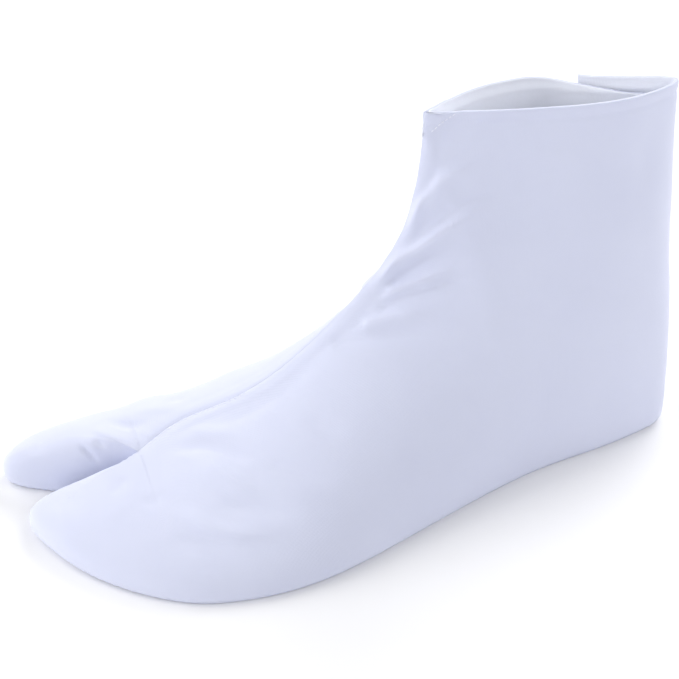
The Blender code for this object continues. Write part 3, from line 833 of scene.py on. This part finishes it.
def map_weave(bm: bmesh.types.BMesh, weave: Dict[int, Span]) -> None:
    """Gives a mesh its weave's places, in millimetres, by its vertices' keys."""
    key, uv = bm.verts.layers.int["key"], bm.loops.layers.uv.new(UV_NAME)
    for loop in (loop for face in bm.faces for loop in face.loops):
        loop[uv].uv = weave[loop.vert[key]]


def move_to(bm: bmesh.types.BMesh, points: np.ndarray) -> None:
    """Moves a mesh's vertices, in their order, and works out its normals again."""
    for vert, point in zip(bm.verts, points):
        vert.co = point
    bm.normal_update()


def smooth(bm: bmesh.types.BMesh, verts: List[bmesh.types.BMVert], passes: int) -> None:
    """Evens out part of a mesh."""
    for _ in range(passes if verts else 0):
        bmesh.ops.smooth_vert(
            bm, verts=verts, factor=0.5, use_axis_x=True, use_axis_y=True, use_axis_z=True
        )


@dataclass
class Upper:
    """One cotton upper, a double layer of broadcloth filled out by the foot that wore it."""

    name: str
    node: str
    side: Side
    skin: Skin
    material: bpy.types.Material
    # The inside's finish: white cotton, painted lighter than the outside to stand in for light shining
    # through the cloth.
    painted_light_lining_material: bpy.types.Material
    folds: Tuple[Fold, ...]
    first: int
    counts: Tuple[int, ...]
    flat: Span
    area: float
    rows: int = 128
    row_ease: float = 0.45
    foot_pitch: float = 3.2
    foot_pucker: float = 0.05
    foot_turn: Span = (-0.9, 1.1)
    seam_samples: int = 141
    seam_reach: float = 22.0
    seam_clear: float = 3.4
    seam_pitch: float = 3.4
    seam_pucker: float = 0.08
    seam_roll: float = 0.24
    seam_roll_reach: float = 0.8
    seam_gap: float = 0.06
    seam_mitre: float = 1.15
    allowance: float = 4.8
    allowance_lift: float = 0.34
    allowance_soft: float = 1.6
    hem_bulge: float = 0.30
    hem_depth: float = 4.2
    tack_station: float = 22.4
    tack_width: float = 11.5
    tack_height: float = 8.0
    tack_lift: float = 0.42
    edge_round: float = 0.40
    tip_reach: float = 5.0
    tip_merges: Tuple[float, ...] = (0.05, 0.25, 0.45, 0.45)
    tip_passes: int = 40
    corner_reaches: Tuple[float, ...] = (0.75, 0.5, 0.25)
    corner_passes: int = 15
    corner_clear: float = 2.2
    places: Dict[int, Span] = field(default_factory=dict)

    def __post_init__(self) -> None:
        """Works out the instep seam's line, which both uppers keep clear of."""
        self.seam_stations = np.linspace(BALL_FRONT, THROAT_OUTER, self.seam_samples)
        self.seam = placed(self.skin.crown_points(self.seam_stations))
        self.seam_run = run_along(self.seam)

    def column_places(self) -> np.ndarray:
        """The columns' places along the stations, close together where the folds are."""
        steps = [np.arange(count) / count + self.first + i for i, count in enumerate(self.counts)]
        return np.concatenate(steps + [np.array([self.first + len(self.counts)], dtype=float)])

    def stations_of(self, columns: np.ndarray, shares: np.ndarray) -> np.ndarray:
        """Bends the columns nearest the closure along the flap's or the underlap's slanting edge.

        Args:
            columns: Places of the columns.
            shares: Shares of the way up.

        Returns:
            The stations of the cloth's points.
        """
        if self.side is Side.OUTER:
            run = (columns - FLAP_TURN) / (self.first + len(self.counts) - FLAP_TURN)
            return np.where(columns <= FLAP_TURN, columns, FLAP_TURN + (flap_edge(shares) - FLAP_TURN) * run)
        edge = underlap_edge(shares)
        run = (columns - self.first) / (THROAT_INNER - self.first)
        return np.where(columns >= THROAT_INNER, columns, edge + (THROAT_INNER - edge) * run)

    def on_seam(self, stations: np.ndarray) -> np.ndarray:
        """Which of the upper's sections end on the instep seam."""
        if self.side is Side.OUTER:
            return (stations > BALL_FRONT) & (stations <= THROAT_OUTER)
        return (stations >= THROAT_INNER) & (stations < SEAM_END)

    def on_rim(self, stations: np.ndarray) -> np.ndarray:
        """Which sections end on the sock's mouth."""
        return (stations >= THROAT_OUTER) & (stations <= THROAT_INNER)

    def throat(self) -> float:
        """The station of the upper's corner at the throat."""
        return THROAT_OUTER if self.side is Side.OUTER else THROAT_INNER

    def to_seam(self, places: np.ndarray) -> Tuple[np.ndarray, np.ndarray]:
        """How far points are from the instep seam, and how far along it.

        Args:
            places: Points of the cloth.

        Returns:
            The distances and the runs along the seam.
        """
        rough = np.linalg.norm(places[:, None, :] - self.seam[None, ::14, :], axis=2).min(axis=1)
        near = rough < self.seam_reach
        distance, run = np.full(len(places), FAR_AWAY), np.zeros(len(places))
        distance[near], step, part, _ = nearest_on_line(places[near], self.seam)
        run[near] = self.seam_run[step] + part * np.diff(self.seam_run)[step]
        return distance, run

    def seam_relief(self, cloth: Cloth) -> np.ndarray:
        """The pressed seam allowance under the instep seam, and the seam's small puckers.

        Args:
            cloth: The cloth's points.

        Returns:
            Heights in millimetres.
        """
        distance, run = self.to_seam(cloth.places)
        strong = ease((run - 8.0) / 16.0)
        past = distance - self.allowance - 0.25 * np.sin(run / 6.1 + self.side.value)
        lift = self.allowance_lift if self.side is Side.OUTER else 0.5 * self.allowance_lift
        band = lift * (1.0 - ease((past + self.allowance_soft) / (2.0 * self.allowance_soft))) * strong
        band -= 0.5 * lift * hump(past - self.allowance_soft, 2.2) * strong
        gather = self.seam_pucker + (0.20 * hump(run - 4.0, 9.0) if self.side is Side.INNER else 0.0)
        pucker = gather * wandering_wave(run, self.seam_pitch) * np.exp(-distance / 3.2)
        ends = ease(run / 3.0) * ease((self.seam_run[-1] - run + 4.0) / 6.0)
        return (band + pucker * ends) * (0.1 + 0.9 * ease(distance / 2.5))

    def hem_relief(self, cloth: Cloth) -> np.ndarray:
        """The turned hem round the mouth and down the free edge.

        Args:
            cloth: The cloth's points.

        Returns:
            Heights in millimetres.
        """
        below = RIM_HEIGHT - cloth.places[:, 2]
        hem = self.hem_bulge * (hump(below - 1.2, 1.9) - 0.8 * hump(below - self.hem_depth, 0.9))
        if self.side is Side.INNER:
            return hem
        behind = (flap_edge(cloth.shares) - cloth.stations) * FLAP_STATION_MM
        edge = hump(behind - 1.0, 1.5) - 0.9 * hump(behind - 3.2, 0.8) + 0.5 * hump(behind - 4.6, 0.9)
        return hem + 0.8 * self.hem_bulge * edge

    def tack_relief(self, cloth: Cloth) -> np.ndarray:
        """The corner of the hem, folded down and tacked at the throat.

        Args:
            cloth: The cloth's points.

        Returns:
            Heights in millimetres.
        """
        along = np.maximum(-self.side.value * (cloth.stations - self.throat()), 0.0) * self.tack_station
        below = RIM_HEIGHT - cloth.places[:, 2]
        corner = 1.0 - along / self.tack_width - below / self.tack_height
        return self.tack_lift * ease(corner * self.tack_height + 0.5)

    def foot_relief(self, cloth: Cloth, above: np.ndarray) -> np.ndarray:
        """The gathers where the upper is eased round the toes and the heel, and its turn under the foot.

        Args:
            cloth: The cloth's points.
            above: Distances up from the sole seam.

        Returns:
            Heights in millimetres.
        """
        run = self.skin.measure(cloth.stations, self.skin.edge_runs)
        drawn = sum(g.height * hump(cloth.stations - g.station, g.spread) for g in FOOT_GATHERS)
        waves = wandering_wave(run, self.foot_pitch) * np.exp(-above / (3.0 + 8.0 * drawn))
        turn, reach = self.foot_turn
        return (self.foot_pucker + drawn) * waves + turn * hump(above, reach)

    def relief(self, cloth: Cloth) -> np.ndarray:
        """How far the cloth stands out of the smooth skin.

        Args:
            cloth: The cloth's points.

        Returns:
            Heights in millimetres.
        """
        stations, shares = cloth.stations, cloth.shares
        above = shares * self.skin.points(stations, shares)[1]
        soft = unevenness(cloth.places) + sum(fold_heights(fold, self.skin, cloth) for fold in self.folds)
        soft *= ease(np.minimum(stations, LAST_STATION - stations) / 1.5)
        if self.side is Side.INNER:
            soft *= ease((stations - flap_edge(shares) - 0.1) / 0.9) + ease(1.0 - shares / SINK_FROM)
        soft *= 0.35 + 0.65 * ease(above / 5.0)
        soft *= 0.15 + 0.85 * ease(self.to_seam(cloth.places)[0] / self.seam_clear)
        sewn = self.seam_relief(cloth) + self.foot_relief(cloth, above)
        return soft + sewn + self.hem_relief(cloth) + self.tack_relief(cloth)

    def surface(self, stations: np.ndarray, shares: np.ndarray) -> Tuple[np.ndarray, np.ndarray]:
        """Places on the cloth's outside, for what is sewn to it.

        Args:
            stations: The stations wanted.
            shares: Their shares of the way up.

        Returns:
            The points and the outward directions.
        """
        behind, places, ahead = (self.skin.points(stations + d, shares)[0] for d in (-0.01, 0.0, 0.01))
        under, over = (self.skin.points(stations, np.clip(shares + d, 0.0, 1.0))[0] for d in (-0.004, 0.004))
        normals = unit(np.cross(ahead - behind, over - under))
        heights = self.relief(Cloth(stations, shares, places, normals))
        if self.side is Side.INNER:
            heights -= underlap_sink(stations, shares)
        return places + normals * heights[:, None], normals

    def points_of(self, bm: bmesh.types.BMesh) -> Cloth:
        """Reads back the points of a mesh of this upper."""
        key = bm.verts.layers.int["key"]
        rows = [(*self.places[vert[key]], *vert.co, *vert.normal) for vert in bm.verts]
        both = np.array(rows)
        return Cloth(both[:, 0], both[:, 1], both[:, 2:5], both[:, 5:8])

    def cut_sheet(self) -> bmesh.types.BMesh:
        """Lays the upper's grid on the skin, closes the toe pouch and maps the weave on it.

        Returns:
            The smooth upper, one layer thick.
        """
        columns = self.column_places()
        bm, keys = sheet_grid(len(columns) - 1, self.rows)
        t = (keys % KEY_STRIDE) / self.rows
        shares = t - self.row_ease * np.sin(2.0 * math.pi * t) / (2.0 * math.pi)
        stations = self.stations_of(columns[keys // KEY_STRIDE], shares)
        held = underlap_dip(stations, shares) if self.side is Side.INNER else shares
        points, length = self.skin.points(stations, held)
        split = (stations <= 0.0) | (stations >= LAST_STATION)
        points[split, 1] = CROWNS["split"].y - CENTRE_Y + self.side.value * self.seam_gap
        parted = np.where(self.on_seam(stations), hump((1.0 - shares) * length, 2.0), 0.0)
        points[:, 1] += self.side.value * self.seam_gap * parted
        self.places = {k: (a, b) for k, a, b in zip(keys, stations, shares)}
        map_weave(bm, self.lay_weave(keys, points, stations))
        move_to(bm, points)
        bmesh.ops.remove_doubles(bm, verts=bm.verts, dist=WELD)
        bmesh.ops.recalc_face_normals(bm, faces=bm.faces)
        self.ease_tip(bm)
        self.ease_corners(bm)
        bm.normal_update()
        return bm

    def lay_weave(self, keys: np.ndarray, points: np.ndarray, stations: np.ndarray) -> Dict[int, Span]:
        """Runs the weave level along the upper and square to that up it, both in millimetres.

        Args:
            keys: The points' columns and rows as one number.
            points: The points.
            stations: Their stations.

        Returns:
            The weave's place for each key.
        """
        order = np.argsort(keys)
        shape = (sum(self.counts) + 1, self.rows + 1)
        grid = points[order].reshape(*shape, 3)
        ahead, over = np.gradient(grid, axis=0), np.gradient(grid, axis=1)
        normal = unit(np.cross(ahead, over))
        level = np.stack([-normal[..., 1], normal[..., 0], np.zeros(shape)], axis=2)
        ahead[..., 2] = 0.0
        level = unit(level + 0.1 * unit(ahead))
        steps = np.diff(grid, axis=1)
        along = (steps * (level[:, 1:] + level[:, :-1]) / 2.0).sum(axis=2)
        upward = np.sqrt(np.maximum((steps**2).sum(axis=2) - along**2, 0.0))
        start = self.skin.measure(stations[order].reshape(shape)[:, :1], self.skin.edge_runs)
        across = np.concatenate([start, start + np.cumsum(along, axis=1)], axis=1)
        height = np.concatenate([np.zeros_like(start), np.cumsum(upward, axis=1)], axis=1)
        return {k: (a, b) for k, a, b in zip(keys[order], across.ravel(), height.ravel())}

    def ease_tip(self, bm: bmesh.types.BMesh) -> None:
        """Evens out the cloth where the toe pouch's crown line ends in the tip of the toe.

        Args:
            bm: The smooth upper, one layer thick.
        """
        tip = CROWNS["four_4"] if self.side is Side.OUTER else CROWNS["big_4"]
        place = Vector(placed(np.array(tip)))
        for merge in self.tip_merges:
            near = [vert for vert in bm.verts if (vert.co - place).length < self.tip_reach]
            bmesh.ops.remove_doubles(bm, verts=near, dist=merge)
            near = [vert for vert in bm.verts if (vert.co - place).length < self.tip_reach]
            smooth(bm, near, self.tip_passes)

    def ease_corners(self, bm: bmesh.types.BMesh) -> None:
        """Evens out the cloth below the corners of the seam, at the toe split and at the throat.

        Args:
            bm: The smooth upper, one layer thick.
        """
        cloth = self.points_of(bm)
        verts = list(bm.verts)
        clear = self.to_seam(cloth.places)[0] > self.corner_clear
        for corner in (BALL_FRONT, THROAT_OUTER, THROAT_INNER, SEAM_END):
            for reach in self.corner_reaches:
                within = (abs(cloth.stations - corner) < reach) & (cloth.shares > 0.04)
                within &= cloth.shares < 0.985 - 0.1 * (0.75 - reach)
                if corner in (THROAT_OUTER, THROAT_INNER):
                    within &= clear
                smooth(bm, [verts[i] for i in np.flatnonzero(within)], self.corner_passes)

    def press_folds(self, bm: bmesh.types.BMesh) -> None:
        """Moves the smooth upper's points out to its folds, puckers, hems and seams.

        Args:
            bm: The upper, one layer thick.
        """
        if self.side is Side.INNER:
            flat = self.points_of(bm)
            sink = underlap_sink(flat.stations, flat.shares)
            move_to(bm, flat.places - flat.normals * sink[:, None])
        cloth = self.points_of(bm)
        moved = cloth.places + cloth.normals * self.relief(cloth)[:, None]
        distance, run = self.to_seam(cloth.places)
        rolled = distance < 4.0 * self.seam_roll_reach
        roll = self.seam_roll * hump(distance, self.seam_roll_reach) * ease(run / 9.0)
        inward = self.skin.seam_inward(np.interp(run[rolled], self.seam_run, self.seam_stations))
        moved[rolled] += inward * roll[rolled, None]
        move_to(bm, moved)

    def lining(self, bm: bmesh.types.BMesh) -> Dict[int, Vector]:
        """The inside of the cloth: level at the sole and the mouth, mitred at the instep seam.

        Args:
            bm: The upper, one layer thick.

        Returns:
            The inside's places by key.
        """
        key = bm.verts.layers.int["key"]
        cloth = self.points_of(bm)
        top, rim = cloth.shares >= 1.0, self.on_rim(cloth.stations)
        inward = -cloth.normals * CLOTH
        mitred = top & self.on_seam(cloth.stations)
        inward[mitred] = self.skin.seam_inward(cloth.stations[mitred]) * CLOTH * self.seam_mitre
        inward[mitred & rim, 2] = 0.0
        level = (cloth.shares <= 0.0) | (top & rim & ~mitred)
        inward[level, 2] = 0.0
        inward[level] = unit(inward[level]) * CLOTH
        return {vert[key]: Vector(place) for vert, place in zip(bm.verts, cloth.places + inward)}

    def round_edges(self, bm: bmesh.types.BMesh) -> None:
        """Rounds the folded edge of the mouth and of the flap or the underlap.

        Args:
            bm: The upper with its wall.
        """
        key = bm.verts.layers.int["key"]
        free = sum(self.counts) if self.side is Side.OUTER else 0
        edges = []
        for edge in bm.edges:
            one, two = (vert[key] for vert in edge.verts)
            (low, up), (high, top) = self.places[one], self.places[two]
            rim = min(up, top) >= 1.0 and self.on_rim(low) and self.on_rim(high)
            side = one // KEY_STRIDE == two // KEY_STRIDE == free and min(up, top) > UNDERLAP_FROM
            if one != two and (rim or side):
                edges.append(edge)
        width = self.edge_round
        bmesh.ops.bevel(bm, geom=edges, offset=width, segments=3, profile=0.5, affect="EDGES", material=-1)

    def build(self) -> bpy.types.Object:
        """Returns:
            The piece.
        """
        bm = self.cut_sheet()
        self.press_folds(bm)
        thicken(bm, CLOTH, self.lining(bm), lined=True)
        self.round_edges(bm)
        made = finish_piece(self.name, bm, self.material, self.painted_light_lining_material)
        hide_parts(self.node)
        return made


@dataclass
class Sole:
    """The sole, one piece of heavy cotton twill with the toe split cut into it."""

    skin: Skin
    material: bpy.types.Material
    setback: float = 1.5
    thickness: float = 1.8
    edge_thickness: float = 1.2
    turned_up: float = 0.3
    margin: float = 2.4
    slit_past: float = 0.5
    grid: float = 4.0
    reach: Span = (124.0, 52.0)
    steps: int = 8
    wave: float = 0.4
    wave_length: float = 22.0

    def outline(self) -> np.ndarray:
        """The sole's outline in its finished place, just inside the uppers' feet."""
        stations = np.linspace(0.0, LAST_STATION, int(LAST_STATION) * self.steps + 1)
        edge, outward = self.skin.edge_points(stations)
        outline = edge - outward * self.setback
        outline[[0, -1], 0] -= self.slit_past
        return placed(np.column_stack([outline, np.zeros(len(outline))]))[::-1]

    def cut_sheet(self) -> bmesh.types.BMesh:
        """Cuts the sole flat, with a border round it and a square grid inside the border.

        Returns:
            The flat sole, one layer thick, facing down.
        """
        outline = self.outline()
        bm = bmesh.new()
        bmesh.ops.create_circle(bm, cap_ends=True, segments=len(outline), radius=1.0)
        move_to(bm, outline)
        bmesh.ops.recalc_face_normals(bm, faces=bm.faces)
        bmesh.ops.inset_region(
            bm, faces=bm.faces[:], thickness=self.margin, use_boundary=True, use_even_offset=True
        )
        border = {vert for vert in bm.verts if vert.is_boundary}
        for axis, reach in enumerate(self.reach):
            for cut in np.arange(-reach, reach, self.grid):
                place, normal = Vector(), Vector()
                place[axis], normal[axis] = float(cut), 1.0
                middle = [face for face in bm.faces if not any(vert in border for vert in face.verts)]
                parts = {*middle, *(e for face in middle for e in face.edges)}
                parts |= {vert for face in middle for vert in face.verts}
                bmesh.ops.bisect_plane(bm, geom=list(parts), plane_co=place, plane_no=normal, dist=0.01)
        bmesh.ops.recalc_face_normals(bm, faces=bm.faces)
        bm.faces.ensure_lookup_table()
        if bm.faces[0].normal.z > 0.0:
            bmesh.ops.reverse_faces(bm, faces=bm.faces)
        return bm

    def build(self) -> bpy.types.Object:
        """Builds the sole.

        Returns:
            The piece.
        """
        bm = self.cut_sheet()
        key = bm.verts.layers.int.new("key")
        for number, vert in enumerate(bm.verts):
            vert[key] = number
        map_weave(bm, {vert[key]: vert.co.xy for vert in bm.verts})
        above: Dict[int, Vector] = {}
        for vert in bm.verts:
            height = self.thickness + self.wave * noise.noise(vert.co / self.wave_length)
            if vert.is_boundary:
                vert.co.z, height = self.turned_up, self.edge_thickness
            above[vert[key]] = vert.co + Vector((0.0, 0.0, height))
        thicken(bm, self.thickness, above)
        made = finish_piece("twill_sole", bm, self.material)
        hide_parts("sole")
        return made


@dataclass
class SeamAllowance:
    """One upper's allowance at the instep seam, pressed open against the inside."""

    name: str
    upper: Upper
    first: float
    last: float
    cut: float
    start: float = 2.4
    width: float = 4.6
    gap: float = 0.25
    cloth: float = 0.5
    columns: int = 150
    rows: int = 6

    def build(self) -> bpy.types.Object:
        """Builds the strip on the upper's own inside.

        Returns:
            The piece.
        """
        bm, keys = sheet_grid(self.columns, self.rows)
        stations = self.first + (self.last - self.first) * (keys // KEY_STRIDE) / self.columns
        _, length = self.upper.skin.points(stations, np.ones(len(stations)))
        down = self.start + self.width * (1.0 - (keys % KEY_STRIDE) / self.rows)
        places, normals = self.upper.surface(stations, 1.0 - down / length)
        outside, under = (places - normals * (CLOTH + self.gap + d) for d in (0.0, self.cloth))
        run = self.upper.skin.measure(stations, self.upper.skin.crown_runs)
        map_weave(bm, {k: (a, b) for k, a, b in zip(keys, run, down)})
        move_to(bm, outside)
        thicken(bm, self.cloth, {k: Vector(place) for k, place in zip(keys, under)})
        made = finish_piece(self.name, bm, self.upper.material)
        made["cloth_of"] = self.upper.name
        return made


@dataclass
class Stitching:
    """Machine and hand stitches, each a short thread that dips into the cloth at both ends."""

    name: str
    material: bpy.types.Material
    width: float = 0.36
    height: float = 0.24
    sunk: float = 0.25
    shown: float = 0.4
    bars: List[Tuple[Vector, Vector, Vector]] = field(default_factory=list)

    def row(self, upper: Upper, stations: np.ndarray, shares: np.ndarray, pitch: float) -> None:
        """Lays a row of stitches along a line on an upper.

        Args:
            upper: The upper that carries them.
            stations: The line's stations.
            shares: The line's shares of the way up.
            pitch: The distance between two stitches.
        """
        places, normals = upper.surface(stations, shares)
        run = run_along(places)
        line = np.hstack([places, normals])
        for middle in np.arange(0.5 * pitch, run[-1], pitch):
            start, end, centre = (
                [np.interp(middle + d * pitch, run, column) for column in line.T]
                for d in (-self.shown, self.shown, 0.0)
            )
            self.bars.append((Vector(start[:3]), Vector(end[:3]), Vector(centre[3:]).normalized()))

    def build(self) -> bpy.types.Object:
        """Builds every stitch that has been laid.

        Returns:
            The piece.
        """
        bm = bmesh.new()
        for start, end, outward in self.bars:
            along = (end - start).normalized()
            across = outward.cross(along).normalized()
            turn = Matrix((along, across, along.cross(across))).transposed().to_4x4()
            long = (end - start).length / 2.0
            size = Matrix.Diagonal((long, self.width / 2.0, self.height / 2.0, 1.0))
            place = Matrix.Translation((start + end) / 2.0 + outward * self.sunk * self.height)
            bmesh.ops.create_uvsphere(
                bm, u_segments=8, v_segments=6, radius=1.0, matrix=place @ turn @ size
            )
        return finish_piece(self.name, bm, self.material)


@dataclass
class CatchThreads:
    """The thread bars on the underlap that the clasps hook into."""

    upper: Upper
    material: bpy.types.Material
    bars: Tuple[Tuple[float, float, float], ...] = (
        (0.60, 6.6, 1.56),
        (0.76, 10.4, 1.56),
        (0.92, 10.4, 1.56),
        (0.92, 16.2, UNDERLAP_DEPTH - 0.2),
    )
    half_length: float = 6.0
    straight: float = 4.6
    bend: float = 1.3
    sunk: float = 0.2
    section_mm: float = 140.0
    thickness: float = 0.34
    turns: int = 14

    def path(self, share: float, behind: float, over: float) -> List[Vector]:
        """The line of one bar, up over the clasp and back into the cloth at both ends.

        Args:
            share: The clasp's share of the way up.
            behind: The bar's distance behind the flap's edge.
            over: How deep below the skin its middle runs.

        Returns:
            Points along it.
        """
        t = np.linspace(-1.0, 1.0, self.turns + 1)
        shares = share + t * self.half_length / self.section_mm
        stations = np.full(len(t), flap_edge(share) - behind / FLAP_STATION_MM)
        skin = self.upper.skin
        places, _ = skin.points(stations, shares)
        ahead, _ = skin.points(stations + 0.01, shares)
        above, _ = skin.points(stations, shares + 0.004)
        normals = unit(np.cross(ahead - places, above - places))
        ends = ease((np.abs(t) * self.half_length - self.straight) / self.bend)
        depth = over + (UNDERLAP_DEPTH + self.sunk - over) * ends
        return [Vector(p - n * d) for p, n, d in zip(places, normals, depth)]

    def build(self) -> bpy.types.Object:
        """Builds all bars as thin round threads.

        Returns:
            The piece.
        """
        bm = bmesh.new()
        for bar in self.bars:
            path = self.path(*bar)
            ring = bmesh.ops.create_circle(bm, segments=8, radius=self.thickness / 2.0)["verts"]
            turn = (path[1] - path[0]).normalized().to_track_quat("Z", "Y").to_matrix()
            bmesh.ops.rotate(bm, verts=ring, cent=Vector(), matrix=turn)
            bmesh.ops.translate(bm, verts=ring, vec=path[0])
            edges = list({edge for vert in ring for edge in vert.link_edges})
            first = list(edges)
            for here, there in zip(path, path[1:]):
                made = bmesh.ops.extrude_edge_only(bm, edges=edges)["geom"]
                ring = [part for part in made if isinstance(part, bmesh.types.BMVert)]
                edges = [part for part in made if isinstance(part, bmesh.types.BMEdge)]
                edges = [edge for edge in edges if all(vert in ring for vert in edge.verts)]
                bmesh.ops.translate(bm, verts=ring, vec=there - here)
            bmesh.ops.contextual_create(bm, geom=first)
            bmesh.ops.contextual_create(bm, geom=edges)
        bmesh.ops.recalc_face_normals(bm, faces=bm.faces)
        made = finish_piece("catch_threads", bm, self.material)
        return made


@dataclass
class Clasps:
    """The four stamped clasps inside the flap, which keep the frame's own shapes."""

    material: bpy.types.Material
    count: int = 4

    def dress(self) -> None:
        """Gives each clasp its metal."""
        for number in range(1, self.count + 1):
            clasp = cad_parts[f"kohaze_{number}"]
            clasp.data.materials.clear()
            clasp.data.materials.append(self.material)
            LOG.info("kohaze_%d: stamped brass", number)


@dataclass
class Studio:
    """A pale floor, soft light from above and behind, and the camera, all in millimetres."""

    floor: bpy.types.Material
    floor_width: float = 6000.0
    camera_place: Tuple[float, float, float] = (-162.9, -396.8, 365.75)
    azimuth: float = -0.37011
    elevation: float = 0.62044
    roll_degrees: float = 0.47
    lens: float = 79.51
    sensor: float = 36.0
    sky: float = 0.24
    distance: float = 1400.0
    aim_height: float = 60.0
    lamp_width: float = 1200.0
    lamps: Tuple[Tuple[str, Tuple[float, float, float], float], ...] = (
        ("heel_softbox", (0.66, 0.50, 0.50), 16.5),
        ("far_softbox", (-0.50, 0.50, 0.70), 8.4),
        ("toe_softbox", (-0.95, 0.00, 0.30), 14.0),
        ("side_softbox", (0.60, -0.66, 0.55), 10.4),
    )

    def lay_floor(self) -> None:
        """Lays the floor just below the sole."""
        bm = bmesh.new()
        bmesh.ops.create_grid(bm, x_segments=4, y_segments=4, size=self.floor_width * MM / 2.0)
        mesh = bpy.data.meshes.new("floor")
        bm.to_mesh(mesh)
        bm.free()
        mesh.materials.append(self.floor)
        made = bpy.data.objects.new("floor", mesh)
        bpy.context.scene.collection.objects.link(made)

    def light(self) -> None:
        """Sets the even white surround and the softboxes."""
        world = bpy.data.worlds.new("white_surround")
        world.use_nodes = True
        background = world.node_tree.nodes["Background"]
        background.inputs["Color"].default_value = linear_colour("#FFFFFF")
        background.inputs["Strength"].default_value = self.sky
        bpy.context.scene.world = world
        for name, way, power in self.lamps:
            data = bpy.data.lights.new(name, "AREA")
            data.shape = "DISK"
            data.size = self.lamp_width * MM
            data.energy = power
            lamp = bpy.data.objects.new(name, data)
            toward = Vector(way).normalized()
            lamp.location = (toward * self.distance + Vector((0.0, 0.0, self.aim_height))) * MM
            lamp.rotation_euler = (-toward).to_track_quat("-Z", "Y").to_euler()
            bpy.context.scene.collection.objects.link(lamp)

    def aim_camera(self) -> None:
        """Sets the camera above and to the left of the toes."""
        a, e, r = self.azimuth, self.elevation, math.radians(self.roll_degrees)
        back = Vector((math.sin(a) * math.cos(e), -math.cos(a) * math.cos(e), math.sin(e)))
        right = (-back).cross(Vector((0.0, 0.0, 1.0))).normalized()
        up = right.cross(-back)
        level = (right * math.cos(r) + up * math.sin(r), up * math.cos(r) - right * math.sin(r), back)
        data = bpy.data.cameras.new("camera")
        data.lens, data.sensor_width, data.clip_start = self.lens, self.sensor, 0.01
        camera = bpy.data.objects.new("camera", data)
        turn = Matrix(level).transposed().to_4x4()
        camera.matrix_world = Matrix.Translation(Vector(self.camera_place) * MM) @ turn
        bpy.context.scene.collection.objects.link(camera)
        bpy.context.scene.camera = camera
        bpy.context.scene.view_settings.view_transform = "Standard"

    def build(self) -> None:
        """Sets up floor, light and camera."""
        self.lay_floor()
        self.light()
        self.aim_camera()
        LOG.info("studio ready")


def sew(outer: Upper, inner: Upper, thread: bpy.types.Material) -> None:
    """Lays every visible row of stitches.

    Args:
        outer: The outer upper.
        inner: The inner upper.
        thread: The sewing thread's finish.
    """
    shares = np.linspace(0.30, 0.985, 240)
    rows = Stitching("flap_stitching", thread)
    for behind in (2.6, 5.4):
        rows.row(outer, flap_edge(shares) - behind / FLAP_STATION_MM, shares, 2.1)
    seam = Stitching("seam_stitching", thread, width=0.32)
    along = np.linspace(8.25, 10.3, 200)
    _, length = outer.skin.points(along, np.ones(len(along)))
    seam.row(outer, along, 1.0 - 0.95 / length, 2.2)
    tack = Stitching("throat_tack", thread, width=0.34)
    slant, inset, section_mm = np.linspace(0.06, 0.94, 40), 0.9, 142.0
    for upper in (outer, inner):
        over = slant * (upper.tack_width - inset) / upper.tack_station
        shares = 1.0 - (1.0 - slant) * (upper.tack_height - inset) / section_mm
        tack.row(upper, upper.throat() - upper.side.value * over, shares, 1.5)
    for stitching in (rows, seam, tack):
        stitching.build()


def main() -> None:
    """Builds the finish piece by piece and reports each."""
    logging.basicConfig(level=logging.INFO, format="%(name)s: %(message)s")
    skin = Skin()
    broadcloth = WovenCotton("bleached_cotton_broadcloth", "#D5D9EC", "#CED2E7", thread_mm=0.46)
    # The lining is white cotton, painted far lighter than the outside cloth: painted light, standing in for
    # the light that shines through the cloth into the sock.
    lining_painted_lit_through = WovenCotton("bleached_cotton_lining_painted_light", "#F4F6FF", "#EEF1FD", thread_mm=0.5)
    twill = WovenCotton(
        name="heavy_cotton_twill",
        colour="#D3D7EB",
        shade="#C9CEE4",
        thread_mm=0.9,
        relief_mm=0.22,
        twill=1.0,
        roughness=0.9,
        sheen=0.1,
    )
    thread = SewingThread().build()
    finishes = {"skin": skin, "material": broadcloth.build(), "painted_light_lining_material": lining_painted_lit_through.build()}
    outer = Upper(
        name="outer_upper",
        node="outer_panel",
        side=Side.OUTER,
        folds=OUTER_FOLDS,
        first=0,
        counts=(13,) * 8 + (14, 15, 21, 20, 17, 16, 15, 24, 14, 12, 10, 15, 15, 10),
        flat=(0.145, 0.36),
        area=0.0305,
        **finishes,
    )
    inner = Upper(
        name="inner_upper",
        node="inner_panel",
        side=Side.INNER,
        folds=INNER_FOLDS,
        first=22,
        counts=(14, 14, 24, 14, 15, 17, 20, 22, 16, 13, 12, 12, 11, 10, 10, 11, 12, 12),
        flat=(0.145, 0.26),
        area=0.0202,
        **finishes,
    )
    outer.build()
    inner.build()
    Sole(skin, twill.build()).build()
    SeamAllowance("outer_allowance", outer, first=9.2, last=14.9, cut=0.133).build()
    SeamAllowance("inner_allowance", inner, first=30.8, last=25.1, cut=0.130).build()
    sew(outer, inner, thread)
    CatchThreads(inner, thread).build()
    Clasps(StampedBrass().build()).dress()
    Studio(PaintedBoard().build()).build()


if __name__ == "__main__":
    main()
